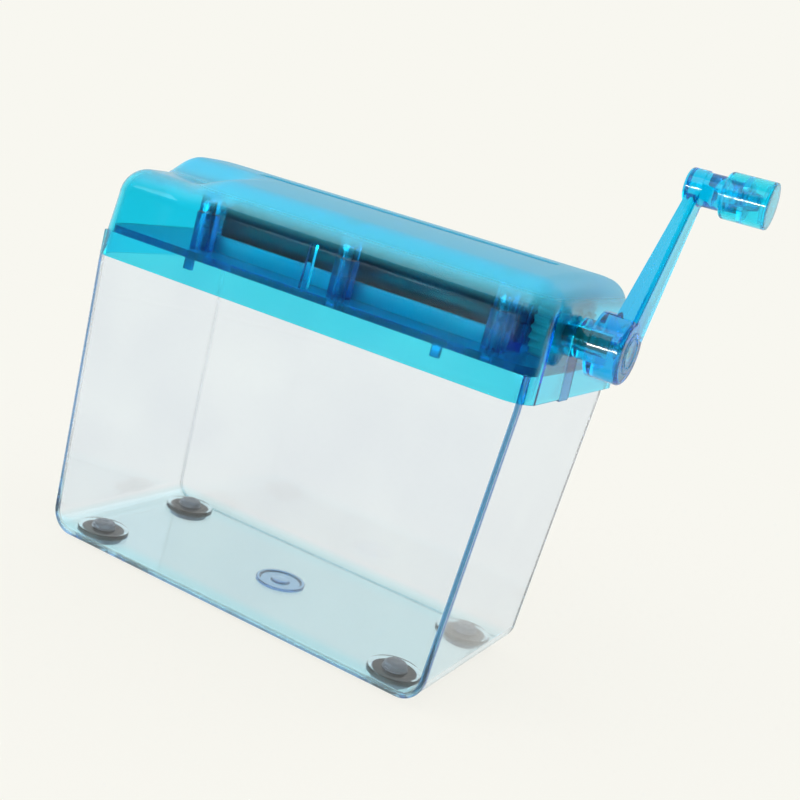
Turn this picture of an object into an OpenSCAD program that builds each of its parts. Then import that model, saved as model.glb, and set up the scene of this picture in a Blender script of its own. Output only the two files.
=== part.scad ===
// Hand-crank paper shredder: a cutting head that lifts off a clear waste bin.
// X runs along the cutters towards the crank, Y from the front to the back, Z up from the floor.
// Places inside the modules are taken from the middle of the head; at_origin() then moves the
// whole shredder so that its box is centred on the origin.

/* [Bin] */
// Length of the bin's underside
bin_base_l = 153.5; // [145:0.5:158]
// Width of the bin's underside
bin_base_w = 74.7; // [70:0.1:76]
// Length of the bin at its rim
bin_rim_l = 163.2; // [156:0.2:176]
// Width of the bin at its rim
bin_rim_w = 76.8; // [74:0.1:84]
// Height of the bin from its underside to its rim
bin_h = 109.3; // [80:0.1:140]
// Thickness of the bin's walls
bin_wall = 1.8; // [1.4:0.1:2.4]
// Thickness of the bin's floor
bin_floor = 2; // [1.6:0.1:3]
// Radius of the bin's upright corners
bin_corner_r = 6.6; // [3:0.1:8]
// Radius of the edge between the floor and the walls
bin_edge_r = 8; // [4:0.5:10]
// How far the underside stands out in front of the rim
bin_front_lean = 1.15; // [0:0.05:2]
// Height of the upright band below the rim
bin_band_h = 11; // [9:0.5:16]
// Diameter of the ring in the middle of the floor
floor_ring_d = 18; // [12:0.5:24]

/* [Feet] */
// Diameter of a rubber foot
foot_d = 15; // [12:0.5:18]
// Height that the feet hold the bin off the table
foot_stand = 2; // [1.5:0.1:4]
// Depth of a foot's pocket in the floor
foot_pocket = 1.4; // [1:0.1:1.8]
// Diameter of the raised pad over a foot
foot_pad_d = 18.4; // [16:0.2:22]
// Height of that pad above the floor
foot_pad_h = 1.6; // [1:0.1:3]
// Diameter of a foot's stem
foot_stem_d = 4.6; // [3:0.1:6]
// Distance from an end of the underside to the middle of a foot
foot_in_l = 14.65; // [14:0.05:30]
// Distance from the front or back of the underside to the middle of a foot
foot_in_w = 11.5; // [11:0.1:18]

/* [Head cover] */
// Gap between the skirt's lower edge and the bin's rim, in front
rim_gap = 1.2; // [1.1:0.1:3]
// Gap between the skirt's lower edge and the bin's rim, at the ends
end_gap = 0.8; // [0.8:0.1:3]
// How far the cover stands out behind the bin, for the fingers
rear_overhang = 8.4; // [8:0.2:14]
// How far the shoulders stand back from the lower edge
brow_in = 2.6; // [1:0.1:2.7]
// How much rounder the cover's inner corners are than the bin's
corner_gap = 0.6; // [0.2:0.1:0.7]
// Thickness of the cover
cover_wall = 1.6; // [1.4:0.1:1.8]
// How far the skirt hangs down over the bin
skirt_drop = 8.3; // [6:0.1:9]
// Height of the cover from its lower edge to its crest
cover_h = 38.6; // [38.5:0.1:44]
// Slope of the cover's ends, in degrees
end_draft = 3.3; // [2.5:0.1:3.6]
// Radius of the arch across the top
arch_r = 230; // [150:5:260]
// Radius of the shoulders in front and behind
shoulder_r = 13; // [12:0.5:16]
// Radius of the edge between an end and the top
end_r = 8; // [4:0.5:9]

/* [Grip scoop] */
// Drop from the crest to the shelf of the scoop
scoop_drop = 7; // [6:0.2:9.4]
// Length of the shelf, from the cover's left end
scoop_shelf_l = 26; // [18:0.5:27]
// Length of the slope from the shelf up to the crest
scoop_slope_l = 18; // [14:0.5:23]
// Radius of the shelf's front edge
scoop_edge_r = 10; // [7:0.5:11]
// Depth of the shelf's flat part, from the head's middle to its back end
scoop_back_y = 21; // [19:0.5:26]
// Length of the rise behind the shelf
scoop_rise = 17; // [15:0.5:24]

/* [Feed slot] */
// How far the feed slot reaches past the cutters' well at each end
slot_over = 2; // [0:0.1:3]
// Width of the feed slot
slot_w = 6; // [5:0.1:7]
// Thickness of the slot's two lips
lip_t = 1.3; // [1:0.1:1.6]
// Height of the lips
lip_h = 7; // [4:0.5:7.5]

/* [Cutters] */
// Room between the cover's left end and the left bearing block
left_room = 26; // [22:0.1:30]
// Room between the right bearing block and the cover's right end
right_room = 14.65; // [14.5:0.05:18]
// Place of the front shaft, from the head's middle
axis_y = -11; // [-12:0.2:-9]
// Height of both shafts above the bin's rim
axis_up = 11.7; // [11.5:0.1:12.4]
// Thickness of a cutter disc
cutter_t = 2.8; // [2.2:0.1:2.9]
// Gap between the discs on one shaft
cutter_gap = 3.4; // [3.2:0.1:3.5]
// How far the front and rear discs overlap
cut_overlap = 1.3; // [0.8:0.1:1.6]
// Number of notches in the edge of a disc
notch_count = 6; // [4:1:10]
// Diameter of a spacer sleeve
spacer_d = 11; // [10:0.5:12]
// Width across the flats of the shafts' hexagon
hex_af = 6.4; // [5.5:0.1:7]
// Diameter of the shafts' journals
journal_d = 6; // [5:0.1:6.2]
// Diameter of the shafts' drive ends
drive_d = 5; // [4.5:0.1:5.4]
// Width across the flats of the drive ends
drive_af = 4.2; // [3.6:0.1:4.6]

/* [Combs] */
// Thickness of a comb's half-round back
comb_t = 0.8; // [0.8:0.1:1]
// Thickness of a comb's fingers
finger_t = 2.4; // [1.6:0.1:2.5]
// Thickness of a comb's foot
comb_foot_t = 1.5; // [1.2:0.1:2]
// Depth of a comb's foot, from the shaft's centre line
comb_foot_y = 13.6; // [13:0.2:14.4]
// Angle from level to the upper edge of a comb
comb_top = 66; // [50:1:70]

/* [Gears] */
// Module of the two gears
gear_module = 1; // [0.98:0.01:1.02]
// Number of teeth on each gear
gear_teeth = 18; // [18:1:19]
// Width of the gears
gear_w = 6.5; // [4:0.5:7]
// Pressure angle of the teeth, in degrees
gear_pa = 20; // [18:1:22]

/* [Frame] */
// Thickness of the deck plate
deck_t = 2.5; // [2:0.1:2.6]
// Thickness of the left bearing block
left_block_t = 10.5; // [8:0.5:12]
// Thickness of the right bearing block
right_block_t = 5; // [4:0.5:5.5]
// Height of the bearing caps above the shafts
cap_h = 6.5; // [6:0.1:7.5]
// Outer diameter of a bearing bush
bush_d = 9; // [8.4:0.2:9.6]
// Diameter of a bush's flange
bush_flange_d = 10.6; // [10:0.2:11]
// Height of the guards beside the combs, above the deck
guard_h = 5.8; // [4:0.2:7]
// Thickness of the guards
guard_t = 1.2; // [1:0.1:1.3]
// Diameter of the posts that carry the cover
post_d = 8; // [7:0.5:8]
// Height of the posts above the deck
post_h = 12.4; // [8:0.2:13]
// How far the outer posts stand past the well's ends
post_past = 0.15; // [0:0.05:0.5]
// Distance from a shaft to the row of posts on its side
post_out = 19.5; // [19.4:0.1:20]
// Width of the tongue that closes the slot below the crank
tongue_w = 8; // [7:0.2:8.4]

/* [Crank] */
// Distance from the shaft to the knob's centre
crank_r = 60; // [45:1:80]
// Lean of the crank to the back, in degrees
crank_lean = 28; // [-90:1:180]
// Diameter of the crank's hub
hub_d = 21; // [19:0.5:24]
// Length of the hub
hub_l = 10.9; // [9:0.1:14]
// Diameter of the collar between the hub and the cover
collar_d = 13; // [10:0.5:15]
// Length of the collar
collar_l = 5.6; // [3:0.1:8]
// Width of the arm at the hub
arm_w = 15; // [12:0.5:18]
// Width of the arm at the knob
arm_tip_w = 9; // [7:0.5:11]
// Thickness of the arm at the hub
arm_t = 6.9; // [4.5:0.1:8]
// Thickness of the arm at the knob
arm_tip_t = 3.6; // [3:0.1:4.5]
// Radius of the arm's outer edges
arm_edge_r = 1.6; // [0.8:0.1:1.7]
// Diameter of the boss at the arm's tip
boss_d = 11.8; // [11.2:0.1:14]
// Length of that boss
boss_l = 6; // [5:0.1:8]

/* [Knob] */
// Diameter of the knob
knob_d = 15; // [14:0.1:18]
// Length of the knob, with its cap
knob_l = 15.1; // [14:0.1:24]
// Thickness of the knob's wall
knob_wall = 1.3; // [1:0.1:1.5]
// Thickness of the knob's cap
knob_cap_t = 1.1; // [0.8:0.1:1.5]
// Diameter of the neck between the arm and the knob
neck_d = 11; // [10.4:0.1:11.2]
// Length of that neck
neck_l = 6.1; // [3:0.1:9]
// Diameter of the journal that the knob turns on
pivot_d = 10; // [8.5:0.1:10.2]
// Length of that journal
pivot_l = 6; // [4.5:0.1:6.4]
// Diameter of the snap pin
snap_d = 5; // [4:0.1:5.6]
// Diameter of the snap pin's head
snap_head_d = 6.6; // [6:0.1:7.4]

/* [Fits and fasteners] */
// Radial clearance of a shaft in its bush, and of the knob on its journal
run_fit = 0.06; // [0.03:0.01:0.08]
// Clearance between pieces that are fixed to each other
seat = 0.05; // [0.03:0.01:0.1]
// Clearance between moving pieces and their neighbours
clear = 0.35; // [0.3:0.05:0.4]
// Diameter of the screws
screw_d = 2.4; // [2:0.1:2.6]
// Diameter of the screws' heads
screw_head_d = 4.4; // [4:0.1:4.6]
// Height of the screws' heads
screw_head_h = 1.5; // [1.2:0.1:1.6]

/* [Hidden] */
$fn = 64;
hull_fn = 32;
skin = 0.01;
eps = 0.5;

cyan = "#16b9dd";
deep_blue = "#0b7fc0";
clear_grey = "#dfe7ea";
black = "#1c2126";
steel = "#9aa1a6";
rubber_grey = "#3f4a52";
nylon = "#e9ecee";

// The cover over the bin's rim, and the bin's places from the head's middle
skirt_l = bin_rim_l + 2 * (cover_wall + end_gap);
skirt_w = bin_rim_w + cover_wall + rim_gap + rear_overhang;
skirt_r = bin_corner_r + cover_wall + corner_gap;
brow_w = skirt_w - 2 * brow_in;
bin_rim_y = bin_rim_w / 2 + cover_wall + rim_gap - skirt_w / 2;
bin_base_y = bin_base_w / 2 + bin_rim_y - bin_rim_w / 2 - bin_front_lean;
foot_pitch_l = bin_base_l - 2 * foot_in_l;
foot_pitch_w = bin_base_w - 2 * foot_in_w;

// Heights from the floor
rim_z = foot_stand + bin_h;
skirt_z = rim_z - skirt_drop;
crest_z = skirt_z + cover_h;
deck_top = rim_z + deck_t;
axis_z = rim_z + axis_up;
cap_top = axis_z + cap_h;
post_top = deck_top + post_h;

// The cutting gear, from the front shaft
mesh_gap = 0.1;
axis_gap = gear_module * gear_teeth + mesh_gap;
rear_y = axis_y + axis_gap;
nip_y = axis_y + axis_gap / 2;
cutter_d = axis_gap + cut_overlap;
cutter_pitch = cutter_t + cutter_gap;
flange_t = 0.8;
stack_play = 0.8;
stack_ends = 2 * (flange_t + stack_play);
stack_room = skirt_l - left_room - right_room - left_block_t - right_block_t - stack_ends;
cutter_count = floor(stack_room / cutter_pitch - 0.5);
stack_l = (cutter_count + 0.5) * cutter_pitch;
well_l = stack_l + stack_ends;
right_out = skirt_l / 2 - right_room;
right_face = right_out - right_block_t;
left_face = right_face - well_l;
left_out = left_face - left_block_t;
mech_x = (left_face + right_face) / 2;
slot_l = well_l + 2 * slot_over;
stack_x = left_face + flange_t + stack_play;
block_reach = 10.5;
screw_reach = 7.2;
cap_screw_l = 12;
cap_screw_ys = [axis_y - screw_reach, rear_y + screw_reach];
bush_r = bush_d / 2;
clip_t = 0.8;
clip_d = 9;
clip_gap = 0.4;
clip_x = left_out - clip_gap - clip_t;
shaft_x = clip_x - 1;
hex_x = stack_x;
hex_l = stack_l;
drive_x = right_out + 0.4;
gear_x = right_out + 1.2;
gear_end = gear_x + gear_w;

// The combs
comb_in_r = cutter_d / 2 + clear + 0.05;
comb_out_r = comb_in_r + comb_t;
finger_in_r = spacer_d / 2 + clear;
finger_low = -38;
finger_top = 44;
well_reach = 8;
well_front = axis_y - well_reach;
well_back = rear_y + well_reach;
guard_y = comb_foot_y + 0.3;
tab_w = 6;
comb_screw_y = comb_foot_y - 2.6;
comb_screw_in = 11;
comb_screw_xs = [left_face + comb_screw_in, mech_x, right_face - comb_screw_in];

// The cover
half_l = skirt_l / 2;
half_w = skirt_w / 2;
brow_y = brow_w / 2;
arch_c = crest_z - arch_r;
shoulder_y = brow_y - shoulder_r;
shoulder_z = arch_c + sqrt(pow(arch_r - shoulder_r, 2) - pow(shoulder_y, 2));
shoulder_a = atan2(shoulder_z - arch_c, shoulder_y);
face_slope = atan2(half_w - brow_y, shoulder_z - skirt_z);
draft_k = tan(end_draft) / half_l;
shelf_z = crest_z - scoop_drop;
arc_n = 7;
arch_n = 9;
edge_n = 7;
corner_n = 6;
post_xs = [left_face - post_past, mech_x, right_face + post_past];
post_ys = [axis_y - post_out, rear_y + post_out];
boss_r = 3.5;
rib_t = 1.2;
catch_shift = 8.1;
slot_gap_r = tongue_w / 2 + 0.3;
catch_in = 2.35;
catch_xs = [left_face + catch_in, right_face - 6 * catch_in];
catch_w = 3;
catch_h = 4;
catch_t = 1.6;
wall_rib_x = mech_x - catch_shift;
wall_rib_w = 2.2;
wall_rib_drop = 13.1;
wall_rib_top = crest_z - wall_rib_drop;

// The crank and knob
end_x = end_at(axis_z - collar_d / 2);
collar_x = end_x + clear;
hub_x = collar_x + collar_l;
hub_end = hub_x + hub_l;
spigot_r = tongue_w / 2;
spigot_x = gear_end + 0.8;
shaft_end = hub_x + 5;
hub_seat_x = shaft_end + 2.4;
hub_recess = 1.7;
hub_cap_d = 13.2;
crank_screw_l = 8;
neck_end = hub_end + neck_l;
pivot_end = neck_end + pivot_l;
knob_gap = 0.3;
knob_x = neck_end + knob_gap;
knob_end = knob_x + knob_l;
flange_x = pivot_end + knob_gap;
knob_flange_t = 1.8;
snap_x = flange_x + knob_flange_t + knob_gap;
snap_l = 3.2;
cap_plug_l = 1.2;

mid_x = (knob_end - half_l) / 2;

// Half the cover's length at a height
function end_at(z) = half_l * (1 - (z - skirt_z) * draft_k);
// Half the cover's width at a height below the shoulders
function face_at(z) = half_w - (z - skirt_z) * tan(face_slope);
function ease(t) = t < 0 ? 0 : t > 1 ? 1 : (1 - cos(180 * t)) / 2;
function mix(a, b, t) = a + (b - a) * t;
function arch_at(y) = arch_c + sqrt(arch_r * arch_r - y * y);
// 1 over the scoop's shelf, falling to 0 where the full arch begins
function scoop_at(x) = 1 - ease((x + half_l - scoop_shelf_l) / scoop_slope_l);

// One half of the full arch, from the skirt to the crest: [depth, height, direction outwards]
function arch_half() = concat(
    [[half_w, skirt_z, 0], [mix(half_w, brow_y, 0.5), mix(skirt_z, shoulder_z, 0.5), 0]],
    [for (i = [0:arc_n]) let (a = shoulder_a * i / arc_n)
        [shoulder_y + shoulder_r * cos(a), shoulder_z + shoulder_r * sin(a), a]],
    [for (i = [1:arch_n]) let (a = mix(shoulder_a, 90, i / arch_n))
        [arch_r * cos(a), arch_c + arch_r * sin(a), a]]);
// The same half over the scoop: a smaller shoulder, a shelf and a rise to the crest
function scoop_half() = let (c = brow_y - scoop_edge_r) concat(
    [[half_w, skirt_z, 0],
     [mix(half_w, brow_y, 0.5), mix(skirt_z, shelf_z - scoop_edge_r, 0.5), 0]],
    [for (i = [0:arc_n]) let (a = 90 * i / arc_n)
        [c + scoop_edge_r * cos(a), shelf_z - scoop_edge_r + scoop_edge_r * sin(a), a]],
    [for (i = [1:arch_n]) let (y = c * (1 - i / arch_n))
        [y, mix(shelf_z, arch_at(y), ease((scoop_back_y - y) / scoop_rise)), 90]]);
// A half profile drawn in by d along its outward directions
function drawn_in(half, d) = [for (p = half) [p[0] - d * cos(p[2]), p[1] - d * sin(p[2])]];
function blend(a, b, t) = [for (i = [0:len(a) - 1]) mix(a[i], b[i], t)];
// The whole profile at a place along the head, from the front skirt to the back skirt
function section(x, d) = let (
    back = drawn_in(arch_half(), d),
    front = drawn_in(blend(arch_half(), scoop_half(), scoop_at(x)), d),
    n = len(back))
    concat([for (p = front) [-p[0], p[1]]], [for (i = [n - 2:-1:0]) back[i]]);
// How far the rounded end draws the profile in, at a distance from the end
function end_inset(d, r) = d >= r ? 0 : r - sqrt(max(0, r * r - pow(r - d, 2)));
function stations(wall) = let (
    r = skirt_r - wall,
    steps = [for (a = [0:15:90]) r * (1 - cos(a))],
    left = [for (s = steps) -half_l + wall + s],
    scoop = [for (i = [0:10]) -half_l + scoop_shelf_l + scoop_slope_l * i / 10],
    right = [for (i = [len(steps) - 1:-1:0]) half_l - wall - steps[i]])
    concat(left, scoop, right);

// Everything is placed from the head's middle and moved to the shredder's own origin
module at_origin() { translate([-mid_x, 0, 0]) children(); }
// A cylinder along X
module rod(x, l, r, y = axis_y, z = axis_z) { translate([x, y, z]) rotate([0, 90, 0]) cylinder(h = l, r = r); }
// A flat shape drawn in (Y, Z), extruded along X
module along_x(x, l) { translate([x, 0, 0]) rotate([90, 0, 90]) linear_extrude(l) children(); }
module round_rect(l, w, r) {
    square([l - 2 * r, w], center = true);
    square([l, w - 2 * r], center = true);
    for (x = [-1, 1], y = [-1, 1]) translate([x * (l / 2 - r), y * (w / 2 - r)]) circle(r);
}
module plate(l, w, r, z, h) { translate([0, 0, z]) linear_extrude(h) round_rect(l, w, r); }
// A pan-head screw whose head sits on the point, with its shank pointing down
module screw(l) {
    cylinder(h = screw_head_h, d = screw_head_d);
    translate([0, 0, -l]) cylinder(h = l + skin, d = screw_d);
}
module screw_hole(l, d = screw_d + 2 * seat) { translate([0, 0, -l]) cylinder(h = l + eps, d = d); }

// The corners of a rounded rectangle, counter-clockwise from the right
function ring(l, w, r, y, z) = [for (c = [0:3], k = [0:corner_n]) let (a = 90 * (c + k / corner_n))
    [(c == 0 || c == 3 ? 1 : -1) * (l / 2 - r) + r * cos(a),
     (c < 2 ? 1 : -1) * (w / 2 - r) + r * sin(a) + y, z]];
// A closed solid through rings of equal length, from the lowest to the highest
module through_rings(rings) {
    n = len(rings[0]);
    m = len(rings);
    polyhedron(
        points = [for (ring = rings) each ring],
        faces = concat(
            [[for (i = [0:n - 1]) i]],
            [for (j = [0:m - 2], i = [0:n - 1]) let (a = j * n + i, b = j * n + (i + 1) % n)
                each [[a, a + n, b + n], [a, b + n, b]]],
            [[for (i = [n - 1:-1:0]) (m - 1) * n + i]]));
}
// The bin's form drawn in on all sides by d, from a height up to the rim and a bit more
module bin_form(d, floor_h, over) {
    edge_r = bin_edge_r - d;
    top_r = bin_corner_r - d;
    straight = bin_h - bin_band_h;
    low = [for (i = [0:edge_n]) let (
        a = 90 * i / edge_n,
        z = floor_h + edge_r * (1 - cos(a)),
        inset = d + edge_r * (1 - sin(a)),
        t = z / straight)
        ring(mix(bin_base_l, bin_rim_l, t) - 2 * inset, mix(bin_base_w, bin_rim_w, t) - 2 * inset,
             top_r * mix(0.5, 1, sin(a)), mix(bin_base_y, bin_rim_y, t), foot_stand + z)];
    high = [for (z = [straight, bin_h + over])
        ring(bin_rim_l - 2 * d, bin_rim_w - 2 * d, top_r, bin_rim_y, foot_stand + z)];
    through_rings(concat(low, high));
}

module foot_places() {
    for (x = [-1, 1], y = [-1, 1])
        translate([x * foot_pitch_l / 2, bin_base_y + y * foot_pitch_w / 2, 0]) children();
}

module bin() {
    pocket_top = foot_stand + foot_pocket;
    floor_top = foot_stand + bin_floor;
    ring_w = 1.2;
    ring_h = 0.8;
    color(clear_grey) at_origin() difference() {
        union() {
            difference() {
                bin_form(0, 0, 0);
                bin_form(bin_wall, bin_floor, eps);
            }
            foot_places() translate([0, 0, floor_top - skin])
                cylinder(h = foot_pad_h + skin, d = foot_pad_d);
            translate([0, bin_base_y, floor_top - skin]) difference() {
                cylinder(h = ring_h + skin, d = floor_ring_d);
                translate([0, 0, -eps]) cylinder(h = ring_h + 2 * eps, d = floor_ring_d - 2 * ring_w);
            }
        }
        foot_places() {
            cylinder(h = pocket_top, d = foot_d + 2 * seat);
            cylinder(h = floor_top + foot_pad_h + eps, d = foot_stem_d + 2 * seat);
        }
    }
}

// A push-in rubber foot: a disc, a stem through the floor and a barbed head above it
module foot(side_x, side_y) {
    pad_top = foot_stand + bin_floor + foot_pad_h;
    edge = 0.8;
    barb_h = 1.4;
    color(rubber_grey) at_origin()
        translate([side_x * foot_pitch_l / 2, bin_base_y + side_y * foot_pitch_w / 2, 0]) {
            cylinder(h = edge, d1 = foot_d - 2 * edge, d2 = foot_d);
            translate([0, 0, edge]) cylinder(h = foot_stand + foot_pocket - edge, d = foot_d);
            cylinder(h = pad_top + skin, d = foot_stem_d);
            translate([0, 0, pad_top]) cylinder(h = barb_h, d1 = foot_stem_d + 2, d2 = foot_stem_d - 1);
        }
}
module foot_front_left() { foot(-1, -1); }
module foot_front_right() { foot(1, -1); }
module foot_back_left() { foot(-1, 1); }
module foot_back_right() { foot(1, 1); }

// The cover's form drawn in by wall: profiles at stations along the head, joined into one solid
module cover_form(wall, drop = 0) {
    xs = stations(wall);
    n = len(section(0, 0));
    m = len(xs);
    corner = skirt_r - wall;
    rings = [for (x = xs) let (
        d = max(0, min(x + half_l, half_l - x) - wall),
        flat = section(x, wall),
        tight = section(x, wall + end_inset(d, corner)),
        top = section(x, wall + end_inset(d, end_r - wall)))
        [for (i = [0:n - 1]) let (
            t = ease((flat[i][1] - (shoulder_z - shoulder_r)) / shoulder_r / 1.6),
            p = mix(tight[i], top[i], t),
            low = i == 0 || i == n - 1,
            z = low ? skirt_z - drop : p[1])
            [x * (1 - (z - skirt_z) * draft_k), p[0], z]]];
    points = [for (ring = rings) each ring];
    sides = [for (j = [0:m - 2], i = [0:n - 1]) let (
        a = j * n + i, b = j * n + (i + 1) % n) [a, b, b + n, a + n]];
    tris = [for (q = sides) each [[q[0], q[1], q[2]], [q[0], q[2], q[3]]]];
    ends = concat(
        [for (i = [1:n - 2]) [0, i + 1, i]],
        [for (i = [1:n - 2]) let (k = (m - 1) * n) [k, k + i, k + i + 1]]);
    polyhedron(points = points, faces = concat(tris, ends));
}

// What stands inside the cover: lips of the feed slot, screw bosses and stiffening ribs
module cover_inside() {
    lip_l = slot_l + 2 * lip_t;
    translate([mech_x, nip_y, crest_z - lip_h / 2]) cube([lip_l, slot_w + 2 * lip_t, lip_h], center = true);
    for (x = post_xs, y = post_ys) translate([x, y, post_top]) cylinder(h = crest_z - post_top, r = boss_r);
    rib_z = axis_z + comb_out_r + 1;
    for (x = post_xs, side = [-1, 1]) {
        inner = nip_y + side * (slot_w / 2 + lip_t / 2);
        translate([x - rib_t / 2, min(inner, inner + side * half_w), rib_z])
            cube([rib_t, half_w, crest_z - rib_z]);
    }
    translate([wall_rib_x - wall_rib_w / 2, -half_w, deck_top + 0.2])
        cube([wall_rib_w, half_w - face_at(wall_rib_top) + cover_wall + 1.5, wall_rib_top - deck_top]);
}

module cover() {
    color(cyan, 0.8) at_origin() difference() {
        union() {
            difference() {
                cover_form(0);
                cover_form(cover_wall, eps);
            }
            intersection() {
                cover_form(cover_wall / 2);
                cover_inside();
            }
        }
        translate([mech_x, nip_y, crest_z]) cube([slot_l, slot_w, 3 * lip_h], center = true);
        for (x = post_xs, y = post_ys) translate([x, y, post_top - eps])
            cylinder(h = 6.5 + eps, d = screw_d + 2 * seat);
        rod(end_at(axis_z) - 2 * cover_wall, 4 * cover_wall, slot_gap_r);
        translate([end_at(axis_z) - 2 * cover_wall, axis_y - slot_gap_r, skirt_z - eps])
            cube([4 * cover_wall, 2 * slot_gap_r, axis_z - skirt_z + eps]);
    }
}

// Lower or upper half of a bearing block, with seats for two bushes
module bearing_half(x, t, z, h) {
    difference() {
        translate([x, axis_y - block_reach, z]) cube([t, axis_gap + 2 * block_reach, h]);
        for (y = [axis_y, rear_y]) rod(x - eps, t + 2 * eps, bush_r + seat, y);
        for (y = cap_screw_ys) translate([x + t / 2, y, cap_top]) screw_hole(cap_screw_l + 1);
    }
}

// The tongue that fills the cover's slot below the crank, sloped like the cover's end
module tongue() {
    low = skirt_z - 0.6;
    high = axis_z - slot_gap_r / 2;
    thick = cover_wall - 0.1;
    difference() {
        translate([0, axis_y + tongue_w / 2, 0]) rotate([90, 0, 0]) linear_extrude(tongue_w)
            polygon([[end_at(low) - thick, low], [end_at(low), low],
                     [end_at(high), high], [end_at(high) - thick, high]]);
        rod(end_at(high) - 4 * thick, 8 * thick, slot_gap_r);
    }
}

module base_frame() {
    play = 0.35;
    deck_l = 2 * (end_at(deck_top) - cover_wall - play);
    deck_w = 2 * (face_at(deck_top) - cover_wall - play);
    front_catch = bin_rim_y - bin_rim_w / 2 + bin_wall + clear;
    color(deep_blue, 0.8) at_origin() {
        difference() {
            union() {
                plate(deck_l, deck_w, skirt_r - cover_wall - play, rim_z, deck_t);
                for (x = post_xs, y = post_ys)
                    translate([x, y, rim_z]) cylinder(h = post_top - rim_z, d = post_d);
                translate([deck_l / 2 - 2, axis_y - tongue_w / 2, rim_z])
                    cube([end_at(rim_z) - deck_l / 2 + 1.2, tongue_w, deck_t]);
                tongue();
                for (x = catch_xs)
                    translate([x - catch_w / 2, front_catch, rim_z - catch_h]) cube([catch_w, catch_t, catch_h + skin]);
            }
            translate([left_face, well_front, rim_z - eps])
                cube([well_l, well_back - well_front, deck_t + 2 * eps]);
            for (x = post_xs, y = post_ys) translate([x, y, rim_z - eps]) {
                cylinder(h = post_top - rim_z + 2 * eps, d = screw_d + 0.6);
                cylinder(h = screw_head_h + 0.3 + eps, d = screw_head_d + 0.4);
            }
            for (x = comb_screw_xs, y = [axis_y - comb_screw_y, rear_y + comb_screw_y])
                translate([x, y, deck_top]) screw_hole(deck_t + eps);
            for (y = [axis_y, rear_y]) rod(gear_x - eps, gear_w + 2 * eps, tip_r + clear, y);
            for (side = [-1, 1]) guard_tabs(side, seat);
        }
        bearing_half(left_out, left_block_t, deck_top - skin, axis_z - deck_top + skin);
        bearing_half(right_face, right_block_t, deck_top - skin, axis_z - deck_top + skin);
    }
}

// The tabs that hold a guard in the deck, on the front side for -1 and the rear side for 1
module guard_tabs(side, grow = 0) {
    y = side < 0 ? axis_y - guard_y - guard_t : rear_y + guard_y;
    for (x = comb_screw_xs) translate([x - tab_w / 2 - grow, y - grow, rim_z - grow])
        cube([tab_w + 2 * grow, guard_t + 2 * grow, deck_t + skin + 2 * grow]);
}
// A guard: an upright strip beside the comb, with a rolled top edge and tabs through the deck
module guard(side) {
    y = side < 0 ? axis_y - guard_y - guard_t : rear_y + guard_y;
    roll_r = guard_t * 0.6;
    color(deep_blue, 0.9) at_origin() {
        translate([left_face + clear, y, deck_top])
            cube([well_l - 2 * clear, guard_t, guard_h - roll_r]);
        rod(left_face + clear, well_l - 2 * clear, roll_r, y + guard_t / 2, deck_top + guard_h - roll_r);
        guard_tabs(side);
    }
}
module front_guard() { guard(-1); }
module rear_guard() { guard(1); }

module left_bearing_cap() {
    color(cyan, 0.9) at_origin() bearing_half(left_out, left_block_t, axis_z, cap_h);
}
module right_bearing_cap() {
    color(cyan, 0.9) at_origin() bearing_half(right_face, right_block_t, axis_z, cap_h);
}

// A flanged bush; dir is 1 when its flange is at its far end in X, else -1
module bush(x, l, dir, y) {
    color(nylon) at_origin() difference() {
        union() {
            rod(x, l, bush_r, y);
            rod(dir > 0 ? x + l - skin : x - flange_t + skin, flange_t, bush_flange_d / 2, y);
        }
        rod(x - flange_t - eps, l + 2 * flange_t + 2 * eps, journal_d / 2 + run_fit, y);
    }
}
module front_left_bush() { bush(left_out, left_block_t, 1, axis_y); }
module rear_left_bush() { bush(left_out, left_block_t, 1, rear_y); }
module front_right_bush() { bush(right_face, right_block_t, -1, axis_y); }
module rear_right_bush() { bush(right_face, right_block_t, -1, rear_y); }

// The outline of a drive end: a round bar with two flats
module drive_outline(grow = 0) {
    intersection() {
        circle(d = drive_d + 2 * grow);
        square([drive_af + 2 * grow, drive_d + 1], center = true);
    }
}
module drive_bar(x, l, y, turn, grow = 0) {
    translate([x, y, axis_z]) rotate([turn, 0, 0]) rotate([90, 0, 90]) linear_extrude(l) drive_outline(grow);
}
module hex_bar(x, l, y, grow = 0) {
    translate([x, y, axis_z]) rotate([0, 90, 0])
        cylinder(h = l, d = (hex_af + 2 * grow) / cos(30), $fn = 6);
}

module shaft(y, end, turn) {
    color(black) at_origin() difference() {
        union() {
            rod(shaft_x, drive_x - shaft_x, journal_d / 2, y);
            hex_bar(hex_x, hex_l, y);
            drive_bar(drive_x - skin, end - drive_x, y, turn);
        }
        rod(clip_x, clip_t, journal_d, y);
    }
    color(black) at_origin() rod(clip_x - skin, clip_t + 2 * skin, journal_d / 2 - 0.8, y);
}
module front_shaft() {
    hole = hub_seat_x - shaft_end - crank_screw_l - 0.5;
    difference() {
        shaft(axis_y, shaft_end, -crank_lean);
        at_origin() rod(shaft_end + hole, eps - hole, screw_d / 2 + seat);
    }
}
module rear_shaft() { shaft(rear_y, gear_end + 0.8, 0); }

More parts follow.
